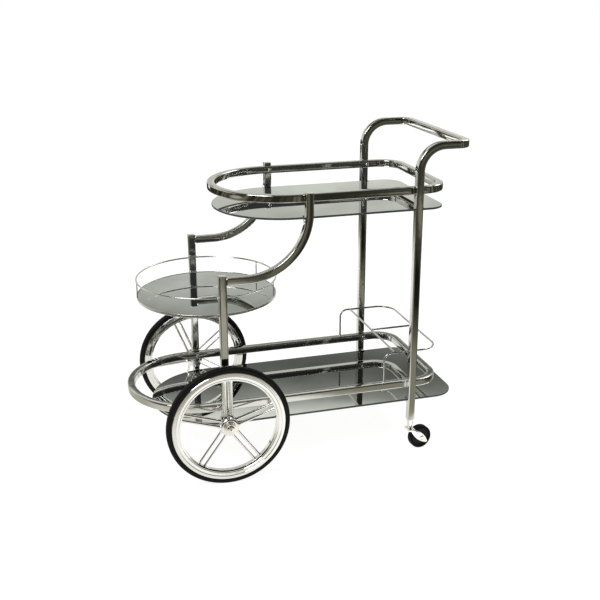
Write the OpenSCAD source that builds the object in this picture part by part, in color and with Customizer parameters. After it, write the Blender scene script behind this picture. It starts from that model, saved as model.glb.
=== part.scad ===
// Beverage cart: square chrome tube frame, two smoked mirror glass shelves, a round tray,
// two spoked front wheels and two swivel casters. Millimetres, +Z up, handle towards +X,
// origin on the floor at the centre of the cart's outline. Left is the -Y side.

/* [Tube] */
// Outside width of the square frame tube
tube_w = 19; // [18:0.5:20]
// Wall thickness of the frame tube
tube_wall = 1.5; // [1.2:0.1:2]
// Outside corner radius of the frame tube
tube_r = 3.2; // [2.4:0.1:4]

/* [Frame] */
// Distance between the centre lines of the left and right posts
post_span = 376; // [350:1:400]
// Distance from the front posts to the rear posts
post_gap = 480; // [460:1:500]
// Height of the front posts' upper ends above the arms' level run
front_post_rise = 12; // [10:0.5:20]
// Length of front post below the axle
axle_drop = 13; // [10:0.5:14]
// Length of the arms' upright ends above their bends
arm_upright = 42; // [36:1:50]
// Distance from the front posts to the arms' upright ends
arm_x = 208.5; // [200:0.5:216]
// Bend radius of the arms, on the centre line
arm_bend_r = 150; // [140:1:154]
// Height of the arms' ends above the upper ring's centre line
arm_rise = 13; // [12:0.5:16]
// Thickness of the push-in caps on open tube ends
cap_t = 2; // [1.5:0.5:3]

/* [Handle] */
// Height of the handle's level run above the upper ring's centre line
handle_rise = 108; // [90:1:130]
// Distance from the rear posts to the handle's crossbar
handle_reach = 122; // [110:1:130]
// Radius of the bends where the rear posts turn into the handle
handle_bend_r = 60; // [50:1:66]
// Radius of the handle's corners in plan
handle_corner_r = 25; // [18:0.5:32]

/* [Rings] */
// Height of the upper ring's centre line
top_ring_z = 677; // [670:1:684]
// Outside length of the upper ring
top_ring_l = 557.5; // [546:0.5:562]
// Height of the lower ring's centre line above the axle
low_ring_rise = 28; // [26:0.5:34]
// Distance from the front posts forward to the lower ring's half round end
low_ring_lead = 30; // [20:0.5:40]
// Distance from the rear posts to the rings' rear centre line
ring_back = 80; // [74:1:84]
// Radius of the rings' rear corners, on the centre line
ring_corner_r = 57; // [50:1:60]

/* [Shelves] */
// Thickness of the glass shelves
glass_t = 5; // [4:0.5:6]
// Height of the upper shelf's upper face
top_glass_z = 636; // [630:1:640]
// Length of the upper shelf
top_glass_l = 544; // [530:1:560]
// Distance from the rear posts to the upper shelf's rear edge
top_glass_back = 86; // [80:1:92]
// Gap between the upper shelf's edge and the posts
top_glass_gap = 9.5; // [6:0.5:12]
// Radius of the upper shelf's rear corners
top_glass_corner_r = 45; // [30:1:60]
// Distance from the axle down to the lower shelf's upper face
low_glass_drop = 11.5; // [11:0.5:13]
// Length of the lower shelf
low_glass_l = 764; // [750:1:780]
// Distance from the rear posts to the lower shelf's rear edge
low_glass_back = 136; // [126:1:146]
// Gap between the lower shelf's edge and the posts
low_glass_gap = 6.5; // [6:0.5:10]
// Radius of the lower shelf's rear corners
low_glass_corner_r = 60; // [40:1:80]
// Thickness of the brackets' steel
bracket_t = 3; // [2:0.5:3.5]
// Width of the shelf brackets
bracket_w = 14; // [10:0.5:16]
// Distance that a bracket's ledge reaches in from the post
bracket_reach = 28; // [22:1:34]
// Height of a shelf bracket
bracket_h = 24; // [20:0.5:26]
// Thickness of the rubber pads under the glass
pad_t = 2; // [1.5:0.5:3]

/* [Tray] */
// Height of the round tray's underside
tray_z = 407; // [390:1:420]
// Gap between the tray's rim and the front posts
tray_gap = 5.5; // [4:0.5:8]
// Height of the tray's rim
tray_rim_h = 6.5; // [6:0.5:9]
// Wall thickness of the tray's rim
tray_wall = 2; // [1.5:0.5:3]
// Width of the ledge that carries the tray's glass
tray_ledge_w = 8; // [6:0.5:12]
// Thickness of the tray's mirror glass
tray_glass_t = 4; // [3:0.5:4.5]
// Height of the gallery wire above the tray's underside
gallery_h = 47; // [36:1:54]
// Diameter of the gallery wire
gallery_d = 4; // [3:0.5:5]
// Diameter of the struts that carry the gallery wire
strut_d = 3; // [2.5:0.5:4]
// Angles of the gallery's struts round the tray, in degrees
strut_angles = [180, 30, -30];

/* [Bottle guard] */
// Diameter of the guard's wire
guard_d = 5; // [4:0.5:6]
// Height of the guard's wire above the lower ring
guard_h = 76.5; // [66:0.5:86]
// Distance from the rear posts forward to the guard's legs
guard_leg_x = 68; // [60:1:76]
// Distance from the rear posts forward to the guard's crossbar
guard_bar_x = 39; // [34:1:44]
// Bend radius at the top of the guard's legs
guard_bend_r = 20; // [14:1:24]
// Radius of the guard's corners in plan
guard_corner_r = 45; // [36:1:54]

/* [Wheels] */
// Outside diameter of the front wheels
wheel_d = 300; // [294:1:306]
// Distance from the posts' outer faces to the middle planes of the front wheels
wheel_offset = 22.5; // [21:0.5:26]
// Width of the tyres
tyre_w = 18; // [16:0.5:19]
// Thickness of tyre outside the rim
tyre_t = 12; // [10:0.5:14]
// Width of the wheel rims
rim_w = 20; // [19:0.5:22]
// Depth of the wheel rims, from edge to inner face
rim_depth = 22; // [20:0.5:26]
// Number of spokes
spoke_count = 5; // [4:1:5]
// Angle by which the right wheel stands turned from the left one
right_wheel_turn = 22; // [0:1:36]
// Diameter of each of the two bars in a spoke
spoke_bar_d = 8; // [6:0.5:9]
// Distance between the two bars in a spoke, on centre lines
spoke_pitch = 15; // [12:0.5:16]
// Outside diameter of the wheel hubs
hub_d = 44; // [40:1:48]
// Width of the wheel hubs
hub_w = 28; // [26:0.5:30]
// Diameter of the hub caps
hub_cap_d = 32; // [30:0.5:34]
// Distance that the hub caps stand out from the hubs
hub_cap_h = 12; // [11:0.5:14]

/* [Casters] */
// Diameter of the caster wheels
caster_d = 60; // [56:1:62]
// Width of the caster wheels' treads
caster_w = 20; // [16:0.5:20]
// Distance from the swivel axis to the caster's axle
caster_trail = 30; // [28:0.5:32]
// Height of the caster's socket above the floor
caster_h = 86; // [82:1:90]
// Angle by which the casters are turned at rest
caster_turn = 8; // [-20:1:20]
// Diameter of the caster stems
stem_d = 10; // [9:0.5:11]
// Distance between the insides of the caster fork's cheeks
fork_gap = 22; // [22:0.5:24]
// Thickness of the caster fork's cheeks
cheek_t = 2.5; // [2:0.5:3]
// Length of the caster fork's cheeks
cheek_l = 62; // [58:0.5:66]
// Greatest width of the caster fork's cheeks
cheek_w = 19.5; // [17:0.5:20]
// Diameter of the caster's neck where it meets the socket
neck_d = 17; // [15:0.5:18]
// Diameter of the caster axles
caster_axle_d = 8; // [6:0.5:8]

/* [Fasteners] */
// Shank diameter of the ring screws
ring_screw_d = 5; // [4:0.5:6]
// Shank diameter of the bracket screws
bracket_screw_d = 4; // [3:0.5:5]
// Shank diameter of the front axle bolts
axle_d = 10; // [8:0.5:10]
// Width across the flats of the axle bolts' heads and nuts
axle_hex_w = 17; // [15:0.5:17]

/* [Hidden] */
$fn = 96;
corner_steps = 3;          // straight facets per rounded tube corner
weld_gap = 0.15;           // seam between parts that meet on a curve
slip = 0.2;                // clearance of parts that are pushed or screwed together
running = 0.05;            // radial clearance of parts that turn
end_play = 0.3;            // axial clearance of parts that turn

post_y = post_span / 2;
post_in = post_y - tube_w / 2;
post_out = post_y + tube_w / 2;
ring_y = post_y - tube_w;
ring_in = ring_y - tube_w / 2;
tube_in_w = tube_w - 2 * tube_wall;
plug_w = tube_in_w - 2 * slip;
plug_corner_r = max(0.5, tube_r - tube_wall);
cap_plug_l = 8;

axle_z = wheel_d / 2;
low_ring_z = axle_z + low_ring_rise;
handle_z = top_ring_z + handle_rise;
low_glass_z = axle_z - low_glass_drop;
handle_out = handle_reach + tube_w / 2;

// Places along the cart, from the front posts, before the outline is centred
ring_rear = post_gap + ring_back;
low_front = -low_ring_lead - post_in;
low_rear = post_gap + max(low_glass_back, handle_out);
axle_x = -(low_front + low_rear) / 2;
rear_x = axle_x + post_gap;
ring_end_x = axle_x + ring_rear;
top_ring_cx = ring_end_x + tube_w / 2 - top_ring_l + post_in;
low_ring_cx = axle_x - low_ring_lead;
arm_cx = axle_x + arm_x;
arm_end = top_ring_z + arm_rise;
arm_z = arm_end - arm_upright - arm_bend_r;
front_post_top = arm_z + front_post_rise;

top_glass_y = post_in - top_glass_gap;
top_glass_end = rear_x + top_glass_back;
low_glass_y = post_in - low_glass_gap;
low_glass_end = rear_x + low_glass_back;
top_ledge_z = top_glass_z - glass_t - pad_t;
low_ledge_z = low_glass_z - glass_t - pad_t;
bracket_screw_drop = 13;
top_front_bracket_x = arm_x_at(top_ledge_z - bracket_screw_drop);
axle_bracket_top = axle_z + axle_drop;

tray_r = post_in - tray_gap;
tray_ledge_t = 1.5;
gallery_z = tray_z + gallery_h;
gallery_r = tray_r - tray_wall / 2;
lug_w = 19;
lug_h = 7;

guard_z = low_ring_z + tube_w / 2 + guard_h;
guard_leg = rear_x - guard_leg_x;
guard_bar = rear_x - guard_bar_x;

wheel_r = wheel_d / 2;
wheel_y = post_out + wheel_offset;
rim_r = wheel_r - tyre_t;
rim_in_r = rim_r - rim_depth;
rim_wall = 2;
rim_seat_drop = 3;         // depth of the tyre's seat below the rim's edge
rim_seat_in = 3.1;         // distance from the rim's side to the tyre's seat
rim_channel_in = 6.2;      // distance from the rim's side to the floor of its channel
tyre_edge_r = 5;
hub_in = wheel_y - hub_w / 2;
hub_out = wheel_y + hub_w / 2;
bush_r = axle_d / 2 + 2;
bush_flange_r = axle_d / 2 + 5;
bush_flange_t = 1.5;
recess_depth = 6;
recess_r = 13;
bolt_head_t = 6.4;
axle_hex_d = axle_hex_w / cos(30);
axle_nut_t = 8;
axle_washer_t = 1.5;
washer_in = hub_out - recess_depth + bush_flange_t + end_play;
nut_in = washer_in + axle_washer_t;
bolt_end = nut_in + axle_nut_t + 1;

socket_l = 24;
stem_top = caster_h + cap_t + socket_l + 4;
crown_top = caster_d;
crown_t = 6;
crown_l = 16;
cheek_end_in = 1;          // distance from a cheek's upper end to the swivel axis
cheek_point = 4;           // length by which a cheek's rounded ends are cut short of a full point
caster_core_r = 24;
clip_z = caster_h + cap_t + socket_l + end_play;
clip_t = 1.2;
groove_r = stem_d / 2 - 0.8;

screw_head_r = 1.9;        // head radius of a screw as a multiple of its shank radius
screw_head_t = 0.6;        // head height of a screw as a multiple of its shank diameter
ring_screw_l = tube_w + 10;
bracket_screw_l = 9;
insert_r = ring_screw_d / 2 + 1.2;
insert_l = 9;
top_ring_screws = [arm_cx, rear_x];
low_ring_screws = [axle_x, rear_x];

left = -1;
right = 1;

function arc(cx, cy, r, a0, a1, n) =
    [for (i = [0:n]) [cx + r * cos(a0 + (a1 - a0) * i / n), cy + r * sin(a0 + (a1 - a0) * i / n)]];
function round_square(w, r) = let (c = w / 2 - r) concat(
    arc(c, c, r, 0, 90, corner_steps), arc(-c, c, r, 90, 180, corner_steps),
    arc(-c, -c, r, 180, 270, corner_steps), arc(c, -c, r, 270, 360, corner_steps));
// Centre line of the arm at a height on its bend or above it
function arm_x_at(z) = let (drop = max(0, arm_z + arm_bend_r - z))
    arm_cx - arm_bend_r + sqrt(arm_bend_r * arm_bend_r - drop * drop);

module tube_section() {
    difference() {
        polygon(round_square(tube_w, tube_r));
        polygon(round_square(tube_in_w, plug_corner_r));
    }
}

// Straight tube from p, of length l, along +X, +Y or +Z
module tube_x(p, l) { translate(p) rotate([90, 0, 90]) linear_extrude(l) tube_section(); }
module tube_y(p, l) { translate(p) rotate([-90, 0, 0]) linear_extrude(l) tube_section(); }
module tube_z(p, l) { translate(p) linear_extrude(l) tube_section(); }

// Bend of the given section round c in a level plane, from angle a0 through a
module bend_level(c, r, a0, a) {
    translate(c) rotate([0, 0, a0]) rotate_extrude(angle = a) translate([r, 0]) children();
}

// Bend of the given section round c in an upright plane along X, from angle a0 through a
module bend_upright(c, r, a0, a) {
    translate(c) rotate([90, 0, 0]) rotate([0, 0, a0]) rotate_extrude(angle = a) translate([r, 0]) children();
}

// Round bar from p, of length l, along +X, +Y or +Z
module bar_x(p, l, d) { translate(p) rotate([0, 90, 0]) cylinder(h = l, d = d); }
module bar_y(p, l, d) { translate(p) rotate([-90, 0, 0]) cylinder(h = l, d = d); }
module bar_z(p, l, d) { translate(p) cylinder(h = l, d = d); }

// Level ring of tube: half round in front, two rounded corners behind
module ring(cx, z) {
    corner_x = ring_end_x - ring_corner_r;
    corner_y = ring_y - ring_corner_r;
    bend_level([cx, 0, z], ring_y, 90, 180) tube_section();
    for (s = [left, right]) tube_x([cx, s * ring_y, z], corner_x - cx);
    bend_level([corner_x, corner_y, z], ring_corner_r, 0, 90) tube_section();
    bend_level([corner_x, -corner_y, z], ring_corner_r, 270, 90) tube_section();
    tube_y([ring_end_x, -corner_y, z], 2 * corner_y);
}

// Puts a child at distance y from the middle on side s, its +Z pointing outwards
module outward(x, s, y, z) {
    translate([x, s * y, z]) rotate([-s * 90, 0, 0]) children();
}

// Holes across both walls of a ring for its screws
module ring_holes(places, z) {
    for (x = places, s = [left, right])
        outward(x, s, ring_in - 1, z) cylinder(h = tube_w + 2, r = ring_screw_d / 2 + slip);
}

// Hole for a threaded insert in the inner wall of a post
module insert_hole(x, s, z) {
    outward(x, s, post_in - 1, z) cylinder(h = tube_wall + 2, r = insert_r + slip);
}

// Hole for a bracket's screw in the inner wall of a post
module pilot_hole(x, s, z) {
    outward(x, s, post_in - 1, z) cylinder(h = tube_wall + 2, r = bracket_screw_d / 2 + running);
}

module handle_frame() {
    bottom = caster_h + cap_t;
    bend_x = rear_x + handle_bend_r;
    corner_x = rear_x + handle_reach - handle_corner_r;
    corner_y = post_y - handle_corner_r;
    color("silver") difference() {
        union() {
            for (s = [left, right]) {
                tube_z([rear_x, s * post_y, bottom], handle_z - handle_bend_r - bottom);
                bend_upright([bend_x, s * post_y, handle_z - handle_bend_r], handle_bend_r, 90, 90)
                    tube_section();
                tube_x([bend_x, s * post_y, handle_z], corner_x - bend_x);
            }
            bend_level([corner_x, corner_y, handle_z], handle_corner_r, 0, 90) tube_section();
            bend_level([corner_x, -corner_y, handle_z], handle_corner_r, 270, 90) tube_section();
            tube_y([corner_x + handle_corner_r, -corner_y, handle_z], 2 * corner_y);
        }
        for (s = [left, right]) {
            insert_hole(rear_x, s, low_ring_z);
            insert_hole(rear_x, s, top_ring_z);
            pilot_hole(rear_x, s, low_ledge_z - bracket_screw_drop);
            pilot_hole(rear_x, s, top_ledge_z - bracket_screw_drop);
        }
    }
}

module front_post(s) {
    bottom = axle_z - axle_drop;
    color("silver") difference() {
        tube_z([axle_x, s * post_y, bottom], front_post_top - bottom);
        insert_hole(axle_x, s, low_ring_z);
        outward(axle_x, s, post_in - 1, axle_z) cylinder(h = tube_w + 2, r = axle_d / 2 + slip);
    }
}

// Cap on an open tube end, with a plug that sits inside the tube
module end_cap(p) {
    translate(p) linear_extrude(cap_t) polygon(round_square(tube_w, tube_r));
    translate([p[0], p[1], p[2] - cap_plug_l]) linear_extrude(cap_plug_l)
        polygon(round_square(plug_w, plug_corner_r));
}

module front_post_caps() {
    color("silver") for (s = [left, right]) end_cap([axle_x, s * post_y, front_post_top]);
}

module arm(s) {
    start = axle_x + tube_w / 2;
    bend_x = arm_cx - arm_bend_r;
    bend_z = arm_z + arm_bend_r;
    screw_z = top_ledge_z - bracket_screw_drop;
    color("silver") difference() {
        union() {
            tube_x([start, s * post_y, arm_z], bend_x - start);
            bend_upright([bend_x, s * post_y, bend_z], arm_bend_r, 270, 90) tube_section();
            tube_z([arm_cx, s * post_y, bend_z], arm_end - bend_z);
        }
        insert_hole(arm_cx, s, top_ring_z);
        pilot_hole(arm_x_at(screw_z), s, screw_z);
    }
}

module arm_caps() {
    color("silver") for (s = [left, right]) end_cap([arm_cx, s * post_y, arm_end]);
}

module top_ring() {
    color("silver") difference() {
        ring(top_ring_cx, top_ring_z);
        ring_holes(top_ring_screws, top_ring_z);
    }
}

module lower_ring() {
    color("silver") difference() {
        ring(low_ring_cx, low_ring_z);
        ring_holes(low_ring_screws, low_ring_z);
    }
}

// Pan head screw whose head sits at distance y from the middle and whose shank points outwards
module screw(x, s, y, z, d, l) {
    head_r = screw_head_r * d / 2;
    head_t = screw_head_t * d;
    outward(x, s, y, z) {
        cylinder(h = l, r = d / 2);
        difference() {
            translate([0, 0, -head_t]) cylinder(h = head_t, r1 = 0.8 * head_r, r2 = head_r);
            translate([0, 0, -head_t - 1]) cylinder(h = 1 + head_t / 2, d = 0.6 * d, $fn = 6);
        }
    }
}

module ring_screws() {
    color("gainsboro") for (s = [left, right]) {
        for (x = top_ring_screws) screw(x, s, ring_in, top_ring_z, ring_screw_d, ring_screw_l);
        for (x = low_ring_screws) screw(x, s, ring_in, low_ring_z, ring_screw_d, ring_screw_l);
    }
}

// Threaded insert in the inner wall of a post, with a bulge behind the wall
module insert(x, s, z) {
    outward(x, s, post_in, z) difference() {
        union() {
            cylinder(h = insert_l, r = insert_r);
            translate([0, 0, tube_wall + slip]) cylinder(h = 2, r = insert_r + 1);
        }
        translate([0, 0, -1]) cylinder(h = insert_l + 2, r = ring_screw_d / 2 + running);
    }
}

module ring_nuts() {
    color("darkgray") for (s = [left, right]) {
        for (x = top_ring_screws) insert(x, s, top_ring_z);
        for (x = low_ring_screws) insert(x, s, low_ring_z);
    }
}

// Level plate with a half round front and two rounded rear corners
module shelf(front, rear, y, z, corner) {
    cx = front + y;
    corner_x = rear - corner;
    corner_y = y - corner;
    translate([cx, 0, z - glass_t]) rotate([0, 0, 90]) rotate_extrude(angle = 180) square([y, glass_t]);
    translate([cx, -y, z - glass_t]) cube([corner_x - cx, 2 * y, glass_t]);
    translate([corner_x, -corner_y, z - glass_t]) cube([corner, 2 * corner_y, glass_t]);
    translate([corner_x, corner_y, z - glass_t]) rotate_extrude(angle = 90) square([corner, glass_t]);
    translate([corner_x, -corner_y, z - glass_t]) rotate([0, 0, 270])
        rotate_extrude(angle = 90) square([corner, glass_t]);
}

module top_glass() {
    color("slategray")
        shelf(top_glass_end - top_glass_l, top_glass_end, top_glass_y, top_glass_z, top_glass_corner_r);
}

module lower_glass() {
    color("dimgray")
        shelf(low_glass_end - low_glass_l, low_glass_end, low_glass_y, low_glass_z, low_glass_corner_r);
}

// Flat of a bracket, from a post's inner face inwards by reach, between two heights
module bracket_plate(x, s, reach, z0, z1) {
    translate([x - bracket_w / 2, s > 0 ? post_in - reach : -post_in, z0]) cube([bracket_w, reach, z1 - z0]);
}

// Angle bracket on the inner face of a post, its flange below the ledge
module shelf_bracket(x, s, ledge_z) {
    difference() {
        union() {
            bracket_plate(x, s, bracket_reach, ledge_z - bracket_t, ledge_z);
            bracket_plate(x, s, bracket_t, ledge_z - bracket_h, ledge_z - bracket_t);
        }
        outward(x, s, post_in - bracket_t - 1, ledge_z - bracket_screw_drop)
            cylinder(h = bracket_t + 2, r = bracket_screw_d / 2 + slip);
    }
}

module shelf_brackets() {
    color("silver") for (s = [left, right]) {
        shelf_bracket(top_front_bracket_x, s, top_ledge_z);
        shelf_bracket(rear_x, s, top_ledge_z);
        shelf_bracket(rear_x, s, low_ledge_z);
    }
}

// Angle bracket held by the axle bolt, its flange above the ledge
module axle_bracket(s) {
    color("silver") difference() {
        union() {
            bracket_plate(axle_x, s, bracket_reach, low_ledge_z - bracket_t, low_ledge_z);
            bracket_plate(axle_x, s, bracket_t, low_ledge_z, axle_bracket_top);
        }
        outward(axle_x, s, post_in - bracket_t - 1, axle_z)
            cylinder(h = bracket_t + 2, r = axle_d / 2 + slip);
    }
}

module bracket_screws() {
    color("gainsboro") for (s = [left, right]) {
        for (place = [[top_front_bracket_x, top_ledge_z], [rear_x, top_ledge_z], [rear_x, low_ledge_z]])
            screw(place[0], s, post_in - bracket_t, place[1] - bracket_screw_drop, bracket_screw_d,
                bracket_screw_l);
    }
}

// Rubber pad on a bracket's ledge, under the edge of the glass
module pad(x, s, glass_y, ledge_z) {
    pad_l = 12;
    pad_w = bracket_w - 4;
    edge = glass_y - 2;
    translate([x - pad_w / 2, s > 0 ? edge - pad_l : -edge, ledge_z]) cube([pad_w, pad_l, pad_t]);
}

module glass_pads() {
    color("dimgray") for (s = [left, right]) {
        pad(top_front_bracket_x, s, top_glass_y, top_ledge_z);
        pad(rear_x, s, top_glass_y, top_ledge_z);
        pad(axle_x, s, low_glass_y, low_ledge_z);
        pad(rear_x, s, low_glass_y, low_ledge_z);
    }
}

module tray_rim() {
    wall_in = tray_r - tray_wall;
    color("silver") translate([axle_x, 0, tray_z]) rotate_extrude() polygon([
        [wall_in - tray_ledge_w, 0], [tray_r, 0], [tray_r, tray_rim_h], [wall_in, tray_rim_h],
        [wall_in, tray_ledge_t], [wall_in - tray_ledge_w, tray_ledge_t]]);
}

// Mirror disc that drops in between the rim and the struts' feet
module tray_glass() {
    inside = min(tray_r - tray_wall, gallery_r - strut_d / 2);
    color("slategray") translate([axle_x, 0, tray_z + tray_ledge_t])
        cylinder(h = tray_glass_t, r = inside - slip);
}

module tray_gallery() {
    color("silver") translate([axle_x, 0, gallery_z]) rotate_extrude() translate([gallery_r, 0])
        circle(d = gallery_d);
}

module tray_struts() {
    foot = tray_z + tray_rim_h;
    color("silver") for (a = strut_angles)
        bar_z([axle_x + gallery_r * cos(a), gallery_r * sin(a), foot],
            gallery_z - gallery_d / 2 - weld_gap - foot, strut_d);
}

// Block between a post and the round edge of radius r, centred at height z
module lug(s, r, z) {
    difference() {
        translate([axle_x - lug_w / 2, s > 0 ? r - 2 : -post_in, z - lug_h / 2])
            cube([lug_w, post_in - r + 2, lug_h]);
        translate([axle_x, 0, z - lug_h]) cylinder(h = 2 * lug_h, r = r + weld_gap, $fn = 360);
    }
}

module tray_lugs() {
    color("silver") for (s = [left, right]) {
        lug(s, tray_r, tray_z + lug_h / 2);
        lug(s, gallery_r + gallery_d / 2, gallery_z);
    }
}

module guard_rail() {
    foot = low_ring_z + tube_w / 2;
    bend_x = guard_leg + guard_bend_r;
    bend_z = guard_z - guard_bend_r;
    corner_x = ring_end_x - guard_corner_r;
    corner_y = ring_y - guard_corner_r;
    color("silver") {
        for (s = [left, right]) {
            bar_z([guard_leg, s * ring_y, foot], bend_z - foot, guard_d);
            bend_upright([bend_x, s * ring_y, bend_z], guard_bend_r, 90, 90) circle(d = guard_d);
            bar_x([bend_x, s * ring_y, guard_z], corner_x - bend_x, guard_d);
        }
        bend_level([corner_x, corner_y, guard_z], guard_corner_r, 0, 90) circle(d = guard_d);
        bend_level([corner_x, -corner_y, guard_z], guard_corner_r, 270, 90) circle(d = guard_d);
        bar_y([ring_end_x, -corner_y, guard_z], 2 * corner_y, guard_d);
    }
}

module guard_crossbar() {
    half = ring_y - guard_d / 2 - weld_gap;
    color("silver") bar_y([guard_bar, -half, guard_z], 2 * half, guard_d);
}

module guard_divider() {
    start = guard_bar + guard_d / 2 + weld_gap;
    color("silver") bar_x([start, 0, guard_z], ring_end_x - guard_d / 2 - weld_gap - start, guard_d);
}

// Puts a child on the front axle line, its +Z pointing outwards from the cart
module on_axle(s) {
    outward(axle_x, s, 0, axle_z) children();
}

// Disc with a bore, from y0 to y1 along the axle
module ring_disc(y0, y1, r, bore) {
    rotate_extrude() translate([bore, y0]) square([r - bore, y1 - y0]);
}

module axle_bolts() {
    head_out = post_in - bracket_t;
    color("gray") for (s = [left, right]) on_axle(s) {
        translate([0, 0, head_out - bolt_head_t]) cylinder(h = bolt_head_t, d = axle_hex_d, $fn = 6);
        translate([0, 0, head_out]) cylinder(h = bolt_end - head_out, d = axle_d);
    }
}

// Sleeves between a post's walls, thin enough to clear the tube's inner corners
module axle_sleeves() {
    wall_in = tube_wall + slip / 2;
    color("darkgray") for (s = [left, right]) on_axle(s)
        ring_disc(post_in + wall_in, post_out - wall_in, tube_in_w / 2 - plug_corner_r, axle_d / 2 + slip);
}

module axle_spacers() {
    color("silver") for (s = [left, right]) on_axle(s)
        ring_disc(post_out, hub_in - bush_flange_t - end_play, bush_flange_r, axle_d / 2 + slip);
}

module axle_washers() {
    color("gainsboro") for (s = [left, right]) on_axle(s)
        ring_disc(washer_in, nut_in, bush_flange_r, axle_d / 2 + slip);
}

module axle_nuts() {
    color("gray") for (s = [left, right]) on_axle(s) difference() {
        translate([0, 0, nut_in]) cylinder(h = axle_nut_t, d = axle_hex_d, $fn = 6);
        translate([0, 0, nut_in - 1]) cylinder(h = axle_nut_t + 2, r = axle_d / 2 + running);
    }
}

// One side of the rim's section, from the tyre's seat over the lip down to the inner face
function rim_side(h) = [
    [rim_r - rim_seat_drop, h - rim_seat_in - 1.5], [rim_r - rim_seat_drop, h - rim_seat_in],
    [rim_r, h - rim_seat_in], [rim_r, h - 1.5], [rim_r - 1.2, h],
    [rim_r - 8, h], [rim_r - 9, h - 1.2], [rim_r - 10, h - 0.6], [rim_r - 16, h - 2],
    [rim_r - 17, h - 3.2], [rim_r - 18, h - 2.8], [rim_in_r, h - 4.2]];
function flip(points) = [for (i = [len(points) - 1:-1:0]) [points[i][0], -points[i][1]]];

module wheel_rim(s) {
    side = rim_side(rim_w / 2);
    floor_half = rim_w / 2 - rim_channel_in;
    channel = [[rim_in_r + rim_wall, -floor_half], [rim_in_r + rim_wall, floor_half]];
    color("silver") on_axle(s) translate([0, 0, wheel_y]) rotate_extrude()
        polygon(concat(side, flip(side), channel));
}

module wheel_spokes(s) {
    reach = rim_in_r + 2;
    start = s > 0 ? 90 + right_wheel_turn : 90;
    color("silver") translate([axle_x, s * wheel_y, axle_z]) difference() {
        intersection() {
            for (i = [0:spoke_count - 1], side = [-1, 1]) rotate([0, -start - i * 360 / spoke_count, 0])
                bar_x([hub_d / 4, 0, side * spoke_pitch / 2], reach - hub_d / 4, spoke_bar_d);
            rotate([90, 0, 0]) cylinder(h = rim_w, r = rim_in_r - weld_gap, center = true);
        }
        rotate([90, 0, 0]) cylinder(h = rim_w, r = hub_d / 2 + weld_gap, center = true);
    }
}

module wheel_hub(s) {
    hub_r = hub_d / 2;
    bore = bush_r + running;
    floor_y = hub_out - recess_depth;
    color("silver") on_axle(s) rotate_extrude() polygon(concat(
        [[bore, hub_in], [hub_r - 2, hub_in], [hub_r, hub_in + 2]],
        arc(hub_r - 3, hub_out - 3, 3, 0, 90, 4),
        [[recess_r, hub_out], [recess_r, floor_y], [bore, floor_y]]));
}

module tyre(s) {
    seat = rim_r + weld_gap;
    foot = rim_r - rim_seat_drop + weld_gap;
    half = tyre_w / 2;
    plug = rim_w / 2 - rim_seat_in - weld_gap;
    color("#1c1b19") on_axle(s) translate([0, 0, wheel_y]) rotate_extrude() polygon(concat(
        [[foot, -plug], [seat, -plug], [seat, -half]],
        arc(wheel_r - tyre_edge_r, -(half - tyre_edge_r), tyre_edge_r, -90, 0, 5),
        arc(wheel_r - tyre_edge_r, half - tyre_edge_r, tyre_edge_r, 0, 90, 5),
        [[seat, half], [seat, plug], [foot, plug]]));
}

// Flanged bush on the axle: its flange on the y0 side if dir is 1, else on the far side
module bush(y0, dir, l) {
    bore = axle_d / 2 + running;
    ring_disc(dir > 0 ? y0 - bush_flange_t : y0, dir > 0 ? y0 : y0 + bush_flange_t, bush_flange_r, bore);
    ring_disc(dir > 0 ? y0 : y0 - l, dir > 0 ? y0 + l : y0, bush_r, bore);
}

module wheel_bushes(s) {
    color("ivory") on_axle(s) {
        bush(hub_in, 1, 10);
        bush(hub_out - recess_depth, -1, 8);
    }
}

// Ridged cap pressed into the hub's recess, hollow over the nut, with a small blind hole in its tip
module hub_cap(s) {
    hollow_r = axle_hex_d / 2 + 0.8;
    skirt_r = recess_r - slip / 2;
    tip = hub_out + hub_cap_h;
    cap_r = hub_cap_d / 2;
    color("gainsboro") on_axle(s) rotate_extrude() polygon([
        [hollow_r, hub_out - 5], [skirt_r, hub_out - 5], [skirt_r, hub_out], [cap_r, hub_out],
        [cap_r, tip - 10],
        [cap_r - 1.8, tip - 9], [cap_r - 1.8, tip - 6.5], [cap_r - 4, tip - 5.5], [cap_r - 4, tip - 3.7],
        [cap_r - 7, tip - 2.6], [cap_r - 7, tip - 1.6], [cap_r - 9.5, tip - 0.7], [1.5, tip],
        [1.5, tip - 2.6],
        [0, tip - 2.6], [0, bolt_end + 0.5], [hollow_r, bolt_end + 0.5]]);
}

// Puts a child at a caster's swivel axis, its +X along the trail
module on_caster(s) {
    translate([rear_x, s * post_y, 0]) rotate([0, 0, caster_turn]) children();
}

// Puts a child on the caster's axle, its +Z along the axle
module on_caster_axle(s) {
    on_caster(s) translate([caster_trail, 0, caster_d / 2]) rotate([-90, 0, 0]) children();
}

module caster_sockets() {
    color("silver") for (s = [left, right]) translate([rear_x, s * post_y, caster_h]) difference() {
        union() {
            linear_extrude(cap_t) polygon(round_square(tube_w, tube_r));
            translate([0, 0, cap_t]) linear_extrude(socket_l) polygon(round_square(plug_w, plug_corner_r));
        }
        translate([0, 0, -1]) cylinder(h = cap_t + socket_l + 2, r = stem_d / 2 + running);
    }
}

// Stem with a neck that widens from the fork's crown to a collar below the socket
module caster_stem(s) {
    stem_r = stem_d / 2;
    neck_r = neck_d / 2;
    collar = caster_h - end_play;
    color("gray") on_caster(s) rotate_extrude() polygon([
        [0, crown_top], [stem_r, crown_top], [stem_r + 0.5, crown_top + 2], [neck_r, collar - 3],
        [neck_r, collar], [stem_r, collar], [stem_r, clip_z], [groove_r, clip_z],
        [groove_r, clip_z + clip_t],
        [stem_r, clip_z + clip_t], [stem_r, stem_top - 1], [stem_r - 1, stem_top], [0, stem_top]]);
}

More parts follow.
